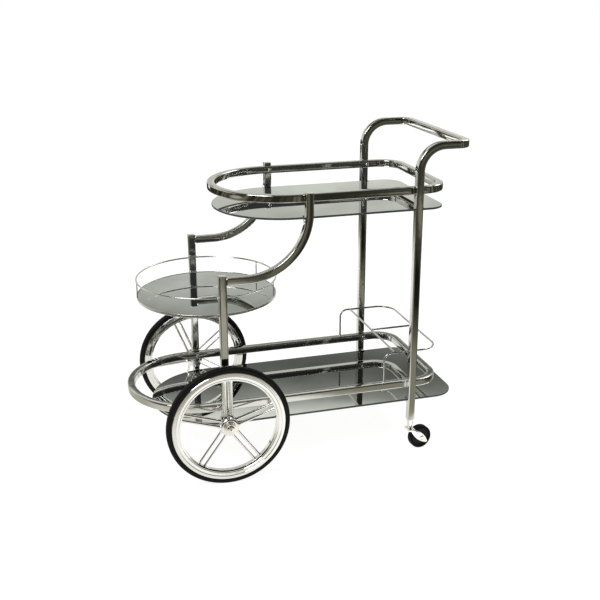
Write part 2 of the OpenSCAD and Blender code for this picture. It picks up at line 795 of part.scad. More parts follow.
module caster_clip(s) {
    color("darkgray") on_caster(s) difference() {
        ring_disc(clip_z, clip_z + clip_t, stem_d / 2 + 1.8, groove_r + running);
        translate([0, -groove_r / 2, clip_z - 1]) cube([stem_d, groove_r, clip_t + 2]);
    }
}

module caster_fork(s) {
    cheek_z = crown_top - crown_t / 2;
    lean = atan2(cheek_z - caster_d / 2, caster_trail);
    half = cheek_l / 2;
    tip = half + cheek_point;
    side_r = (tip * tip + cheek_w * cheek_w / 4) / cheek_w;
    outer = fork_gap / 2 + cheek_t;
    color("silver") on_caster(s) difference() {
        union() {
            translate([-crown_l / 2, -outer, crown_top - crown_t]) cube([crown_l, 2 * outer, crown_t]);
            for (side = [-outer, fork_gap / 2])
                translate([0, side + cheek_t, cheek_z]) rotate([90, lean, 0]) linear_extrude(cheek_t)
                translate([half - cheek_end_in, 0]) intersection() {
                    circle(r = half);
                    translate([0, side_r - cheek_w / 2]) circle(r = side_r);
                    translate([0, cheek_w / 2 - side_r]) circle(r = side_r);
                }
        }
        translate([caster_trail, -outer - 1, caster_d / 2]) rotate([-90, 0, 0])
            cylinder(h = 2 * outer + 2, r = caster_axle_d / 2 + running);
    }
}

module caster_axle(s) {
    outer = fork_gap / 2 + cheek_t;
    axle_r = caster_axle_d / 2;
    color("gray") on_caster_axle(s) rotate_extrude() polygon([
        [0, -outer - 1.5], [axle_r + 1.5, -outer - 1.5], [axle_r + 2.5, -outer], [axle_r, -outer],
        [axle_r, outer], [axle_r + 2.5, outer], [axle_r + 1.5, outer + 1.5], [0, outer + 1.5]]);
}

module caster_core(s) {
    bore = caster_axle_d / 2 + running;
    hub_half = fork_gap / 2 - end_play;
    web_half = caster_w / 2 - 2;
    color("#24221f") on_caster_axle(s) rotate_extrude() polygon([
        [bore, -hub_half], [bore + 5, -hub_half], [bore + 5, -web_half], [caster_core_r, -web_half],
        [caster_core_r, web_half], [bore + 5, web_half], [bore + 5, hub_half], [bore, hub_half]]);
}

module caster_tyre(s) {
    half = caster_w / 2;
    edge_r = 4;
    tread_r = caster_d / 2;
    color("#161514") on_caster_axle(s) rotate_extrude() polygon(concat(
        [[caster_core_r + weld_gap, -half]],
        arc(tread_r - edge_r, -(half - edge_r), edge_r, -90, 0, 4),
        arc(tread_r - edge_r, half - edge_r, edge_r, 0, 90, 4),
        [[caster_core_r + weld_gap, half]]));
}

handle_frame();
front_post(left);  // front_post_left
front_post(right);  // front_post_right
front_post_caps();
arm(left);  // arm_left
arm(right);  // arm_right
arm_caps();
top_ring();
lower_ring();
ring_screws();
ring_nuts();
top_glass();
lower_glass();
shelf_brackets();
axle_bracket(left);  // axle_bracket_left
axle_bracket(right);  // axle_bracket_right
bracket_screws();
glass_pads();
tray_rim();
tray_glass();
tray_gallery();
tray_struts();
tray_lugs();
guard_rail();
guard_crossbar();
guard_divider();
axle_bolts();
axle_sleeves();
axle_spacers();
axle_washers();
axle_nuts();
wheel_rim(left);  // wheel_rim_left
wheel_spokes(left);  // wheel_spokes_left
wheel_hub(left);  // wheel_hub_left
tyre(left);  // tyre_left
wheel_bushes(left);  // wheel_bushes_left
hub_cap(left);  // hub_cap_left
wheel_rim(right);  // wheel_rim_right
wheel_spokes(right);  // wheel_spokes_right
wheel_hub(right);  // wheel_hub_right
tyre(right);  // tyre_right
wheel_bushes(right);  // wheel_bushes_right
hub_cap(right);  // hub_cap_right
caster_sockets();
caster_stem(left);  // caster_stem_left
caster_clip(left);  // caster_clip_left
caster_fork(left);  // caster_fork_left
caster_axle(left);  // caster_axle_left
caster_core(left);  // caster_core_left
caster_tyre(left);  // caster_tyre_left
caster_stem(right);  // caster_stem_right
caster_clip(right);  // caster_clip_right
caster_fork(right);  // caster_fork_right
caster_axle(right);  // caster_axle_right
caster_core(right);  // caster_core_right
caster_tyre(right);  // caster_tyre_right
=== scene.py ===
"""Beverage cart of square chrome tube with smoked mirror shelves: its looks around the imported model.

Shapes are worked out in millimetres in the cart's own axes (+X to the handle, +Z up, left is -Y)
and become metres when they are put into a mesh.
"""

import math

import bpy
import numpy as np
from mathutils import Matrix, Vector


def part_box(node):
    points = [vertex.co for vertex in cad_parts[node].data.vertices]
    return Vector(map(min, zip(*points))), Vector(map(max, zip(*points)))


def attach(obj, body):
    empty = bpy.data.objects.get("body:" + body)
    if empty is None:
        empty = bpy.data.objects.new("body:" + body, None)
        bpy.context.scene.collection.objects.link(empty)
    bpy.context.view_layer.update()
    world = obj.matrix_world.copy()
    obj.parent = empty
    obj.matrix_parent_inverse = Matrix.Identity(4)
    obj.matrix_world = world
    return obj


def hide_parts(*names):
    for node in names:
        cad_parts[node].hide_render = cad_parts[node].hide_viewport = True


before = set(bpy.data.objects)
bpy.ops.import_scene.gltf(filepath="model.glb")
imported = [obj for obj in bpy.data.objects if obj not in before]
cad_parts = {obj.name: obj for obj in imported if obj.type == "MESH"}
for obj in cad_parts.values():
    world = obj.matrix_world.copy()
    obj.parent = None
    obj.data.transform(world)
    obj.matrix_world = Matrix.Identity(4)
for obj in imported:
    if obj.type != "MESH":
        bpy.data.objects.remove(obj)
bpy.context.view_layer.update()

MM = 0.001
SHARP = math.radians(36)   # edges that turn more than this are shaded as edges
SAME = 0.001               # points of an outline that are nearer than this become one
FLAT = 0.95                # a face whose unit normal rises this much is a plate's upper face

LEFT, RIGHT = -1, 1
SIDES = {"left": LEFT, "right": RIGHT}
X, Y, Z = np.eye(3)


# Places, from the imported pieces

def box(node):
    """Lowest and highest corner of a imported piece, in millimetres."""
    low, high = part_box(node)
    return np.array(low) / MM, np.array(high) / MM


post_low, post_high = box("front_post_left")
tube_w = post_high[0] - post_low[0]
half_tube = tube_w / 2
axle_x = (post_low[0] + post_high[0]) / 2
post_y = -(post_low[1] + post_high[1]) / 2
post_in = post_y - half_tube
ring_y = post_y - tube_w
post_bottom = post_low[2]
front_top = post_high[2]

socket_low, socket_high = box("caster_sockets")
rear_x = (socket_low[0] + socket_high[0]) / 2
socket_z = socket_low[2]
frame_low, frame_high = box("handle_frame")
handle_z = frame_high[2] - half_tube
handle_x = frame_high[0] - half_tube

arm_low, arm_high = box("arm_left")
arm_x = arm_high[0] - half_tube
arm_z = arm_low[2] + half_tube
arm_end = arm_high[2]

tyre_low, tyre_high = box("tyre_left")
wheel_r = (tyre_high[2] - tyre_low[2]) / 2
axle_z = (tyre_high[2] + tyre_low[2]) / 2
wheel_y = -(tyre_low[1] + tyre_high[1]) / 2

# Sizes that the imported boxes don't give
TUBE_R = 3.2
TUBE_WALL = 1.5
HANDLE_BEND = 60
HANDLE_CORNER = 25
ARM_BEND = 150
RING_CORNER = 57
TOP_GLASS_CORNER = 45
LOW_GLASS_CORNER = 60
GUARD_BEND = 20
GUARD_CORNER = 45


# Shapes

def unit(vectors):
    """Each vector divided by its length."""
    return vectors / np.linalg.norm(vectors, axis=-1, keepdims=True)


def tangents(outline):
    """Unit direction at each point of a closed outline, from the point before it to the point after it."""
    return unit(np.roll(outline, -1, 0) - np.roll(outline, 1, 0))


def grid_faces(rows, columns, wrap_rows, wrap_columns):
    """Quads of a grid of points numbered row by row: point, next in the row, and the two beside them in the
    next row. A wrapped direction joins its last line to its first."""
    first_rows = np.arange(rows - (not wrap_rows))
    first_columns = np.arange(columns - (not wrap_columns))
    r, c = np.meshgrid(first_rows, first_columns, indexing="ij")
    next_r, next_c = (r + 1) % rows, (c + 1) % columns
    quads = [r * columns + c, r * columns + next_c, next_r * columns + next_c, next_r * columns + c]
    return np.stack(quads, axis=-1).reshape(-1, 4).tolist()


def facing_out(points, faces):
    """Turns all faces round if the volume that they enclose, summed over fans of triangles, is negative."""
    fans = np.array([(f[0], f[i], f[i + 1]) for f in faces for i in range(1, len(f) - 1)])
    a, b, c = points[fans[:, 0]], points[fans[:, 1]], points[fans[:, 2]]
    if np.einsum("ij,ij->", a, np.cross(b, c)) < 0:
        faces = [face[::-1] for face in faces]
    return points, faces


def shell(grid, wrap_rows, wrap_columns):
    """Closed surface from a grid of points: open ends of the rows or of the columns get a flat face."""
    rows, columns = grid.shape[:2]
    numbers = np.arange(rows * columns).reshape(rows, columns)
    faces = grid_faces(rows, columns, wrap_rows, wrap_columns)
    if not wrap_rows:
        faces += [numbers[0, ::-1].tolist(), numbers[-1].tolist()]
    if not wrap_columns:
        faces += [numbers[:, 0].tolist(), numbers[::-1, -1].tolist()]
    return facing_out(grid.reshape(-1, 3), faces)


def joined(parts):
    """One surface from several: each part's face numbers are moved on by the points before them."""
    points, faces = [], []
    for part_points, part_faces in parts:
        first = sum(len(p) for p in points)
        points.append(part_points)
        faces += [[first + i for i in face] for face in part_faces]
    return np.concatenate(points), faces


def turn(vector, axis, angles):
    """The vector v turned about a unit axis by each angle a:
    v cos a + (axis x v) sin a + axis (axis . v)(1 - cos a)."""
    cosine, sine = np.cos(angles)[:, None], np.sin(angles)[:, None]
    return vector * cosine + np.cross(axis, vector) * sine + axis * np.dot(vector, axis) * (1 - cosine)


def route(points, radii, side, loop=False, hold=0.8):
    """Straight legs joined by round bends. Each bend's arc touches both legs, and turns the direction and the
    side vector about the axis at right angles to both legs, so that a square tube isn't twisted. A place a
    little before and after each bend keeps a leg flat in the shading, where there is a leg between two bends.
    Returns places, directions and side vectors."""
    points = [np.array(p, float) for p in points]
    side = np.array(side, float)
    direction = unit(points[1] - points[0])
    places, along, sides = [points[0][None]], [direction[None]], [side[None]]

    def straight(place):
        """Adds one place on the present leg."""
        places.append(place[None])
        along.append(direction[None])
        sides.append(side[None])

    last = None
    for corner, after, radius in zip(points[1:-1], points[2:], radii):
        new = unit(after - corner)
        angle = math.acos(float(np.clip(direction @ new, -1, 1)))
        axis = unit(np.cross(direction, new))
        start = corner - direction * radius * math.tan(angle / 2)
        centre = start + radius * np.cross(axis, direction)
        steps = max(6, math.ceil(math.degrees(angle) / 4))
        angles = np.linspace(0, angle, steps + 1)
        joins = last is not None and np.linalg.norm(start - last) < 2 * hold
        if last is not None and not joins:
            straight(last + hold * direction)
        if not joins:
            straight(start - hold * direction)
        bend = slice(1, None) if joins else slice(None)
        places.append((centre + turn(start - centre, axis, angles))[bend])
        along.append(turn(direction, axis, angles)[bend])
        sides.append(turn(side, axis, angles)[bend])
        last, direction, side = places[-1][-1], new, sides[-1][-1]
    straight(last + hold * direction)
    if not loop:
        straight(points[-1])
    return np.concatenate(places), np.concatenate(along), np.concatenate(sides)


def both_sides(half_way, y):
    """Corners of a route through (x, z) places on the left and back through the same ones on the right."""
    return [(x, LEFT * y, z) for x, z in half_way] + [(x, RIGHT * y, z) for x, z in half_way[::-1]]


def carried(profile, way):
    """Grid of a profile carried along a route: point (a, b) goes to place + a side + b (direction x side)."""
    places, along, sides = way
    up = np.cross(along, sides)
    return places[:, None] + profile[None, :, :1] * sides[:, None] + profile[None, :, 1:] * up[:, None]


def turned(profile, centre, axis=Z, steps=96):
    """Grid of a profile of (radius, height) points turned about an axis: centre + radius (p cos t + q sin t)
    + height axis, where p and q are at right angles to the axis."""
    p = X if abs(axis[2]) > 0.5 else Z
    q = np.cross(axis, p)
    t = np.arange(steps) * (2 * math.pi / steps)
    around = np.cos(t)[:, None] * p + np.sin(t)[:, None] * q
    return np.array(centre) + profile[None, :, :1] * around[:, None] + profile[None, :, 1:] * np.array(axis)


def with_mirror(half):
    """Profile that goes on from its last point through its own mirror image: height h becomes -h."""
    half = np.array(half, float)
    return np.concatenate([half, (half * (1, -1))[::-1]])


def arc(cx, cy, radius, start, end, steps=6):
    """Points at equal angles on a circle's arc, from start to end in degrees."""
    t = np.radians(np.linspace(start, end, steps + 1))
    return np.stack([cx + radius * np.cos(t), cy + radius * np.sin(t)], axis=-1)


def rounded(corners, radii, steps=3, hold=0.25):
    """Closed outline with each corner cut by an arc that touches both of its sides, and a point a little
    before and after it. A radius of zero keeps the corner."""
    corners = np.array(corners, float)
    out = []
    for before, corner, after, radius in zip(np.roll(corners, 1, 0), corners, np.roll(corners, -1, 0), radii):
        if radius == 0:
            out.append(corner[None])
            continue
        a, b = unit(before - corner), unit(after - corner)
        half = math.acos(float(np.clip(a @ b, -1, 1))) / 2
        middle = corner + unit(a + b) * radius / math.sin(half)
        reach = radius / math.tan(half)
        first, last = corner + a * reach - middle, corner + b * reach - middle
        sweep = math.pi - 2 * half
        t = np.linspace(0, 1, steps + 1)[:, None]
        bend = middle + (np.sin((1 - t) * sweep) * first + np.sin(t * sweep) * last) / math.sin(sweep)
        out += [bend[:1] + a * hold, bend, bend[-1:] + b * hold]
    outline = np.concatenate(out)
    return outline[np.linalg.norm(outline - np.roll(outline, 1, 0), axis=1) > SAME]


def square(width, radius, crown=0.15, face_points=8, corner_steps=5):
    """Outline of a square tube's section, centred. A quarter is a face that bulges by crown, with the point
    (h - crown (y / f)^2, y) for y from -f to f, and then a round corner. The others are it, turned."""
    h = width / 2
    f = h - radius
    y = f * np.sin(np.linspace(-math.pi / 2, math.pi / 2, face_points))
    face = np.stack([h - crown * (y / f) ** 2, y], axis=-1)
    quarter = np.concatenate([face, arc(f, f, radius - crown, 0, 90, corner_steps)[1:-1]])
    turned_by = [((1, 0), (0, 1)), ((0, 1), (-1, 0)), ((-1, 0), (0, -1)), ((0, -1), (1, 0))]
    return np.concatenate([quarter @ np.array(t) for t in turned_by])


def soft(thick, edge):
    """Levels of a plate from its lower to its upper face, as (rise, inset), with a soft arris on both."""
    near = edge * 0.3
    return [(0, edge), (near, near), (edge, 0), (thick - edge, 0), (thick - near, near), (thick, edge)]


def slab(outline, levels, place, p=X, q=Y):
    """Plate with a closed outline of (a, b) points that runs anticlockwise seen from p x q. Each level (rise,
    inset) puts a point at place + a p + b q + rise (p x q), moved inwards along the outline's normal by
    inset."""
    ahead = tangents(outline)
    inward = np.stack([-ahead[:, 1], ahead[:, 0]], axis=-1)
    rise, inset = np.array(levels, float).T
    flat = outline[None] + inset[:, None, None] * inward[None]
    grid = np.array(place) + flat[..., :1] * p + flat[..., 1:] * q + rise[:, None, None] * np.cross(p, q)
    return shell(grid, False, True)


def ring_route(front, rear, y, z, corner):
    """Route round a level plan: a half circle of radius y in front, two rounded corners behind, starting in
    the middle of the rear side. The side vector points outwards."""
    half_round = (front, y, z), (front, -y, z)
    return route([(rear, 0, z), (rear, y, z), *half_round, (rear, -y, z), (rear, 0, z)],
                 [corner, y, y, corner], X, loop=True)


def bar(start, end, radii, steps=20):
    """Round bar between two points whose radius follows (share of length, radius) pairs."""
    start, end = np.array(start, float), np.array(end, float)
    length = np.linalg.norm(end - start)
    profile = np.array([(radius, share * length) for share, radius in radii])
    return shell(turned(profile, start, (end - start) / length, steps), True, False)


def flared(radius, foot):
    """Radii of a bar with the same foot at both ends, from the foot's (share of length, added radius)
    pairs."""
    return ([(share, radius + extra) for share, extra in foot]
            + [(1 - share, radius + extra) for share, extra in foot[::-1]])


def seam_bead(centre, normal, width, radius, size=1.4):
    """Brazed bead: a small round profile carried round a rounded square outline that lies flat on a face."""
    normal = np.array(normal, float)
    p = Y if abs(normal[1]) < 0.5 else Z
    q = np.cross(normal, p)
    outline = square(width, radius)
    places = np.array(centre) + outline[:, :1] * p + outline[:, 1:] * q
    ahead = tangents(places)
    outward = np.cross(ahead, np.broadcast_to(normal, ahead.shape))
    return shell(carried(arc(0, 0, size, 0, 315, 7), (places, ahead, outward)), True, True)


# Finishes

def rgba(colour):
    """Opaque colour from three numbers or from one grey number."""
    return (*colour, 1) if isinstance(colour, tuple) else (colour, colour, colour, 1)


def new_node(tree, kind, *in_order, operation=None, **by_name):
    """Adds a node of a kind. Its inputs, in order or by name, are linked to a node's output or set to a
    value."""
    made = tree.nodes.new("ShaderNode" + kind)
    if operation:
        made.operation = operation
    inputs = [*zip(made.inputs, in_order), *((made.inputs[name], value) for name, value in by_name.items())]
    for socket, value in inputs:
        if isinstance(value, bpy.types.NodeSocket):
            tree.links.new(value, socket)
        else:
            socket.default_value = rgba(value) if socket.type == "RGBA" else value
    return made


def ramp(tree, value, stops):
    """Colour ramp with stops of (position, colour), where a single number is a grey."""
    made = new_node(tree, "ValToRGB", value)
    elements = made.color_ramp.elements
    while len(elements) < len(stops):
        elements.new(0.5)
    for element, (position, colour) in zip(elements, stops):
        element.position = position
        element.color = rgba(colour)
    return made.outputs["Color"]


def noise(tree, scale, detail):
    """Pattern on the piece's own coordinates, in metres."""
    place = new_node(tree, "TexCoord").outputs["Object"]
    return new_node(tree, "TexNoise", Vector=place, Scale=scale, Detail=detail).outputs[0]


def new_material(name):
    """A material with its node tree, and its main shader."""
    material = bpy.data.materials.new(name)
    material.use_nodes = True
    return material, material.node_tree, material.node_tree.nodes["Principled BSDF"]


ROUGH_SCALE = 2.7   # how much finer the roughness varies than the colour


def finish(name, dark, light, rough, scale, metallic=0.0, wave=None, **sockets):
    """Finish with a mottled colour between dark and light and a roughness between two values, both from noise
    of the given scale, and perhaps a bump of (scale, strength, distance). Other sockets are set as given."""
    material, tree, shader = new_material(name)
    mottle, fine = noise(tree, scale, 4.0), noise(tree, scale * ROUGH_SCALE, 5.0)
    tree.links.new(ramp(tree, mottle, [(0.3, dark), (0.7, light)]), shader.inputs["Base Color"])
    tree.links.new(ramp(tree, fine, [(0.35, rough[0]), (0.7, rough[1])]), shader.inputs["Roughness"])
    if wave:
        wave_scale, strength, distance = wave
        height = noise(tree, wave_scale, 2.0)
        tilt = new_node(tree, "Bump", Strength=strength, Distance=distance, Height=height)
        tree.links.new(tilt.outputs["Normal"], shader.inputs["Normal"])
    shader.inputs["Metallic"].default_value = metallic
    for socket, value in sockets.items():
        shader.inputs[socket.replace("_", " ")].default_value = value
    return material


tube_chrome = finish("tube_chrome", (0.66, 0.66, 0.63), (0.74, 0.74, 0.72), (0.05, 0.10), 14, 1.0,
                     (26, 0.10, 0.002))
wheel_chrome = finish("wheel_chrome", (0.88, 0.87, 0.84), (0.96, 0.95, 0.93), (0.06, 0.12), 22, 1.0,
                      (40, 0.10, 0.002))
wire_chrome = finish("wire_chrome", (0.92, 0.92, 0.90), (0.97, 0.97, 0.96), (0.16, 0.26), 30, 1.0,
                     (60, 0.08, 0.001))
guard_chrome = finish("guard_chrome", (0.58, 0.58, 0.56), (0.68, 0.68, 0.66), (0.05, 0.11), 30, 1.0,
                      (60, 0.08, 0.001))
# the hub caps' warm cream tint is a painted reflection of warm light
cap_chrome = finish("cap_chrome", (0.90, 0.84, 0.77), (0.97, 0.93, 0.87), (0.18, 0.30), 40, 1.0,
                    (90, 0.10, 0.001))
screw_steel = finish("screw_steel", (0.62, 0.60, 0.54), (0.78, 0.75, 0.68), (0.18, 0.34), 120, 1.0,
                     (300, 0.15, 0.0005))
zinc_steel = finish("zinc_steel", (0.46, 0.47, 0.48), (0.62, 0.63, 0.63), (0.26, 0.45), 60, 1.0,
                    (220, 0.2, 0.0006))
stem_zinc = finish("stem_zinc", (0.80, 0.80, 0.78), (0.90, 0.90, 0.88), (0.16, 0.26), 70, 1.0,
                   (240, 0.12, 0.0004))
white_nylon = finish("white_nylon", (0.72, 0.70, 0.64), (0.80, 0.78, 0.73), (0.38, 0.52), 80, 0.0,
                     (400, 0.1, 0.0004))
shelf_mirror = finish("shelf_mirror", (0.66, 0.68, 0.66), (0.72, 0.74, 0.72), (0.012, 0.035), 9, 1.0)
tray_mirror = finish("tray_mirror", (0.60, 0.63, 0.61), (0.66, 0.69, 0.67), (0.012, 0.035), 11, 1.0)
glass_edge = finish("glass_edge", (0.030, 0.045, 0.040), (0.060, 0.080, 0.072), (0.05, 0.12), 70, 0.0,
                    (120, 0.05, 0.0005), Coat_Weight=0.6)
mirror_back = finish("mirror_back", (0.74, 0.74, 0.74), (0.80, 0.80, 0.80), (0.30, 0.42), 45, 1.0,
                     (260, 0.15, 0.0004))
tyre_rubber = finish("tyre_rubber", (0.003, 0.003, 0.003), (0.007, 0.007, 0.006), (0.50, 0.70), 55, 0.0,
                     (700, 0.25, 0.0004), Specular_IOR_Level=0.2)
caster_rubber = finish("caster_rubber", (0.003, 0.003, 0.003), (0.007, 0.007, 0.007), (0.45, 0.62), 90, 0.0,
                       (900, 0.2, 0.0003), Specular_IOR_Level=0.08)
caster_plastic = finish("caster_plastic", (0.004, 0.004, 0.004), (0.009, 0.009, 0.009), (0.38, 0.52), 120,
                        0.0, (500, 0.12, 0.0003), Specular_IOR_Level=0.15)
pad_rubber = finish("pad_rubber", (0.018, 0.018, 0.019), (0.032, 0.032, 0.032), (0.55, 0.72), 140, 0.0,
                    (800, 0.25, 0.0003))


def piece(name, parts, material, nodes, body="frame", sort=None):
    """Makes one object from surfaces, in metres, and ties it to the frame. With sort, a function of the
    faces' unit normals, each face gets the number of its material."""
    points, faces = joined(parts)
    mesh = bpy.data.meshes.new(name)
    mesh.from_pydata((points * MM).tolist(), [], faces)
    for entry in material if isinstance(material, list) else [material]:
        mesh.materials.append(entry)
    mesh.update()
    if sort:
        normals = np.empty(len(mesh.polygons) * 3)
        mesh.polygons.foreach_get("normal", normals)
        mesh.polygons.foreach_set("material_index", sort(normals.reshape(-1, 3)))
    mesh.shade_smooth()
    mesh.set_sharp_from_angle(angle=SHARP)
    made = bpy.data.objects.new(name, mesh)
    bpy.context.scene.collection.objects.link(made)
    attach(made, body)
    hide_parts(*nodes)


# Tube frame

tube_section = square(tube_w, TUBE_R)


def tube(points, radii, side):
    """Square tube along a route, its ends closed."""
    return shell(carried(tube_section, route(points, radii, side)), False, True)


def open_post(x, y, bottom, top):
    """Upright tube with its wall: the wall's section, with small rounds at the ends, carried round the
    tube's outline."""
    wall = rounded([(0, bottom), (0, top), (-TUBE_WALL, top), (-TUBE_WALL, bottom)], [0.4] * 4, steps=2)
    ahead = tangents(tube_section)
    outward = np.column_stack([ahead[:, 1], -ahead[:, 0], 0 * ahead[:, 0]])
    foot = np.column_stack([tube_section + (x, y), 0 * ahead[:, 0]])
    grid = foot[:, None] + wall[None, :, :1] * outward[:, None] + wall[None, :, 1:] * Z
    return shell(grid, True, True)


def cap(x, y, z, height):
    """Push-in cap: the tube's outline from z upwards, drawn in at the top to a soft edge."""
    levels = [(0, 0.15), (0.25, 0), (height - 0.9, 0), (height - 0.35, 0.25), (height, 0.9)]
    return slab(tube_section, levels, (x, y, z))


handle_points = both_sides([(rear_x, frame_low[2]), (rear_x, handle_z), (handle_x, handle_z)], post_y)
handle_bends = [HANDLE_BEND, HANDLE_CORNER, HANDLE_CORNER, HANDLE_BEND]
piece("handle_tube", [tube(handle_points, handle_bends, X)], tube_chrome, ["handle_frame"])

BEAD_LIFT = 0.3   # of the bead's middle off the post
BEAD_W = tube_w - 0.8
arm_start = axle_x + half_tube
for word, s in SIDES.items():
    y = s * post_y
    piece(f"post_tube_{word}", [open_post(axle_x, y, post_bottom, front_top)],
          tube_chrome, [f"front_post_{word}"])
    arm_points = [(arm_start, y, arm_z), (arm_x, y, arm_z), (arm_x, y, arm_end)]
    bead = seam_bead((arm_start + BEAD_LIFT, y, arm_z), X, BEAD_W, TUBE_R)
    piece(f"arm_tube_{word}", [tube(arm_points, [ARM_BEND], Y), bead], tube_chrome, [f"arm_{word}"])

cap_height = box("front_post_caps")[1][2] - front_top
for name, x, z, node in (("post_cap_pair", axle_x, front_top, "front_post_caps"),
                         ("arm_cap_pair", arm_x, arm_end, "arm_caps")):
    piece(name, [cap(x, s * post_y, z, cap_height) for s in (LEFT, RIGHT)], tube_chrome, [node])

for name, node in (("upper_gallery_ring", "top_ring"), ("lower_gallery_ring", "lower_ring")):
    low, high = box(node)
    way = ring_route(low[0] + half_tube, high[0] - half_tube, ring_y, (low[2] + high[2]) / 2, RING_CORNER)
    piece(name, [shell(carried(tube_section, way), True, True)], tube_chrome, [node])


# Shelves

def shelf(node, corner, edge=0.9, face=3.0):
    """Glass plate: the edge's section, flat with two soft arrises, carried round the plan, its upper and
    lower ends closed by the plate's faces."""
    low, high = box(node)
    thick = high[2] - low[2]
    near = edge * 0.3
    lower = [(-face, 0), (-edge - 0.3, 0), (-edge, 0), (-near, near), (0, edge)]
    section = np.array(lower + [(a, thick - b) for a, b in lower[::-1]])
    way = ring_route(low[0], high[0], high[1], low[2], corner)
    return shell(carried(section, way), True, False)


def glass_sides(normals):
    """Mirror on faces that look up, its coat on those that look down, and the polished edge between."""
    up = normals[:, 2]
    return np.where(up > FLAT, 0, np.where(up < -FLAT, 2, 1)).astype(np.int32)


for name, node, corner in (("upper_shelf_glass", "top_glass", TOP_GLASS_CORNER),
                           ("lower_shelf_glass", "lower_glass", LOW_GLASS_CORNER)):
    piece(name, [shelf(node, corner)], [shelf_mirror, glass_edge, mirror_back], [node],
          sort=glass_sides)


# Round tray

TRAY_WALL = 2
TRAY_LEDGE = 8
TRAY_LEDGE_T = 1.5
TRAY_STEPS = 180
tray_low, tray_high = box("tray_rim")
tray_r = (tray_high[0] - tray_low[0]) / 2
tray_centre = (axle_x, 0, 0)
tray_z, tray_top = tray_low[2], tray_high[2]
wall_in = tray_r - TRAY_WALL

rim_section = rounded(
    [(wall_in - TRAY_LEDGE, tray_z), (tray_r, tray_z), (tray_r, tray_top), (wall_in, tray_top),
     (wall_in, tray_z + TRAY_LEDGE_T), (wall_in - TRAY_LEDGE, tray_z + TRAY_LEDGE_T)],
    [0.5, 1.2, 0.8, 0.8, 0, 0.5])
piece("tray_rim_band", [shell(turned(rim_section, tray_centre, steps=TRAY_STEPS), True, True)],
      wire_chrome, ["tray_rim"])

DISC_EDGE = 0.6
glass_low, glass_high = box("tray_glass")
disc_r = (glass_high[0] - glass_low[0]) / 2
disc_section = np.array(
    [(disc_r - 3, glass_low[2]), (disc_r - DISC_EDGE, glass_low[2]), (disc_r, glass_low[2] + DISC_EDGE),
     (disc_r, glass_high[2] - DISC_EDGE), (disc_r - DISC_EDGE, glass_high[2]), (disc_r - 3, glass_high[2])])
piece("tray_mirror_disc", [shell(turned(disc_section, tray_centre, steps=TRAY_STEPS), True, False)],
      [tray_mirror, glass_edge, mirror_back], ["tray_glass"], sort=glass_sides)

gallery_low, gallery_high = box("tray_gallery")
wire_r = (gallery_high[2] - gallery_low[2]) / 2
gallery_r = (gallery_high[0] - gallery_low[0]) / 2 - wire_r
gallery_z = gallery_low[2] + wire_r
wire_section = arc(gallery_r, gallery_z, wire_r, 0, 330, 11)
piece("tray_gallery_wire", [shell(turned(wire_section, tray_centre, steps=TRAY_STEPS), True, True)],
      wire_chrome, ["tray_gallery"])

STRUT_R = 1.5
STRUT_ANGLES = (180, 30, -30)
STRUT_GAP = 0.1   # under the gallery's wire
strut_radii = [(0, STRUT_R + 1.0), (0.02, STRUT_R + 0.4), (0.06, STRUT_R), (0.94, STRUT_R),
               (0.98, STRUT_R + 0.4), (1, STRUT_R + 0.9)]
struts = []
for degrees in STRUT_ANGLES:
    a = math.radians(degrees)
    x, y = axle_x + gallery_r * math.cos(a), gallery_r * math.sin(a)
    struts.append(bar((x, y, tray_top), (x, y, gallery_z - wire_r - STRUT_GAP), strut_radii))
piece("tray_strut_bars", struts, wire_chrome, ["tray_struts"])


# Bottle guard

GUARD_R = 2.5
FOOT_BEAD_H = 2.4
guard_low, guard_high = box("guard_rail")
guard_x, guard_z = guard_low[0] + GUARD_R, guard_high[2] - GUARD_R
guard_end = guard_high[0] - GUARD_R
guard_foot = guard_low[2]
round_section = arc(0, 0, GUARD_R, 0, 337.5, 15)
guard_points = both_sides([(guard_x, guard_foot), (guard_x, guard_z), (guard_end, guard_z)], ring_y)
guard_way = route(guard_points, [GUARD_BEND, GUARD_CORNER, GUARD_CORNER, GUARD_BEND], X)
foot_bead = [(0, GUARD_R + 1.4), (0.35, GUARD_R + 0.8), (0.7, GUARD_R + 0.2), (1, GUARD_R - 0.1)]
beads = [bar((guard_x, s * ring_y, guard_foot), (guard_x, s * ring_y, guard_foot + FOOT_BEAD_H), foot_bead)
         for s in (LEFT, RIGHT)]
piece("guard_rail_wire", [shell(carried(round_section, guard_way), False, True), *beads],
      guard_chrome, ["guard_rail"])

cross_radii = flared(GUARD_R, [(0, 0.9), (0.006, 0.3), (0.02, 0)])
low, high = box("guard_crossbar")
bar_x = (low[0] + high[0]) / 2
piece("guard_cross_wire", [bar((bar_x, low[1], guard_z), (bar_x, high[1], guard_z), cross_radii)],
      guard_chrome, ["guard_crossbar"])
low, high = box("guard_divider")
piece("guard_divider_wire", [bar((low[0], 0, guard_z), (high[0], 0, guard_z), cross_radii)],
      guard_chrome, ["guard_divider"])


# Front wheels

WHEEL_STEPS = 160
TYRE_DEPTH = 12
RIM_HALF = 10
RIM_DEPTH = 22
LIP = 3.1                 # distance from the rim's side in to the tyre's seat
SEAT = 0.15               # seam between the tyre and its seat
SEAT_DEPTH = 3
rim_r = wheel_r - TYRE_DEPTH
seat_r = rim_r - SEAT_DEPTH


def rim_side(h):
    """Section of one side of the rim, from the tyre's seat over the lip and its grooves to the inner face."""
    return [(seat_r, h - LIP - 1.5), (seat_r, h - LIP), (rim_r, h - LIP), (rim_r, h - 1.5),
            (rim_r - 1.2, h), (rim_r - 8, h), (rim_r - 9, h - 1.2), (rim_r - 10, h - 0.6),
            (rim_r - 16, h - 2), (rim_r - 17, h - 3.2), (rim_r - 18, h - 2.8), (rim_r - RIM_DEPTH, h - 4.2)]


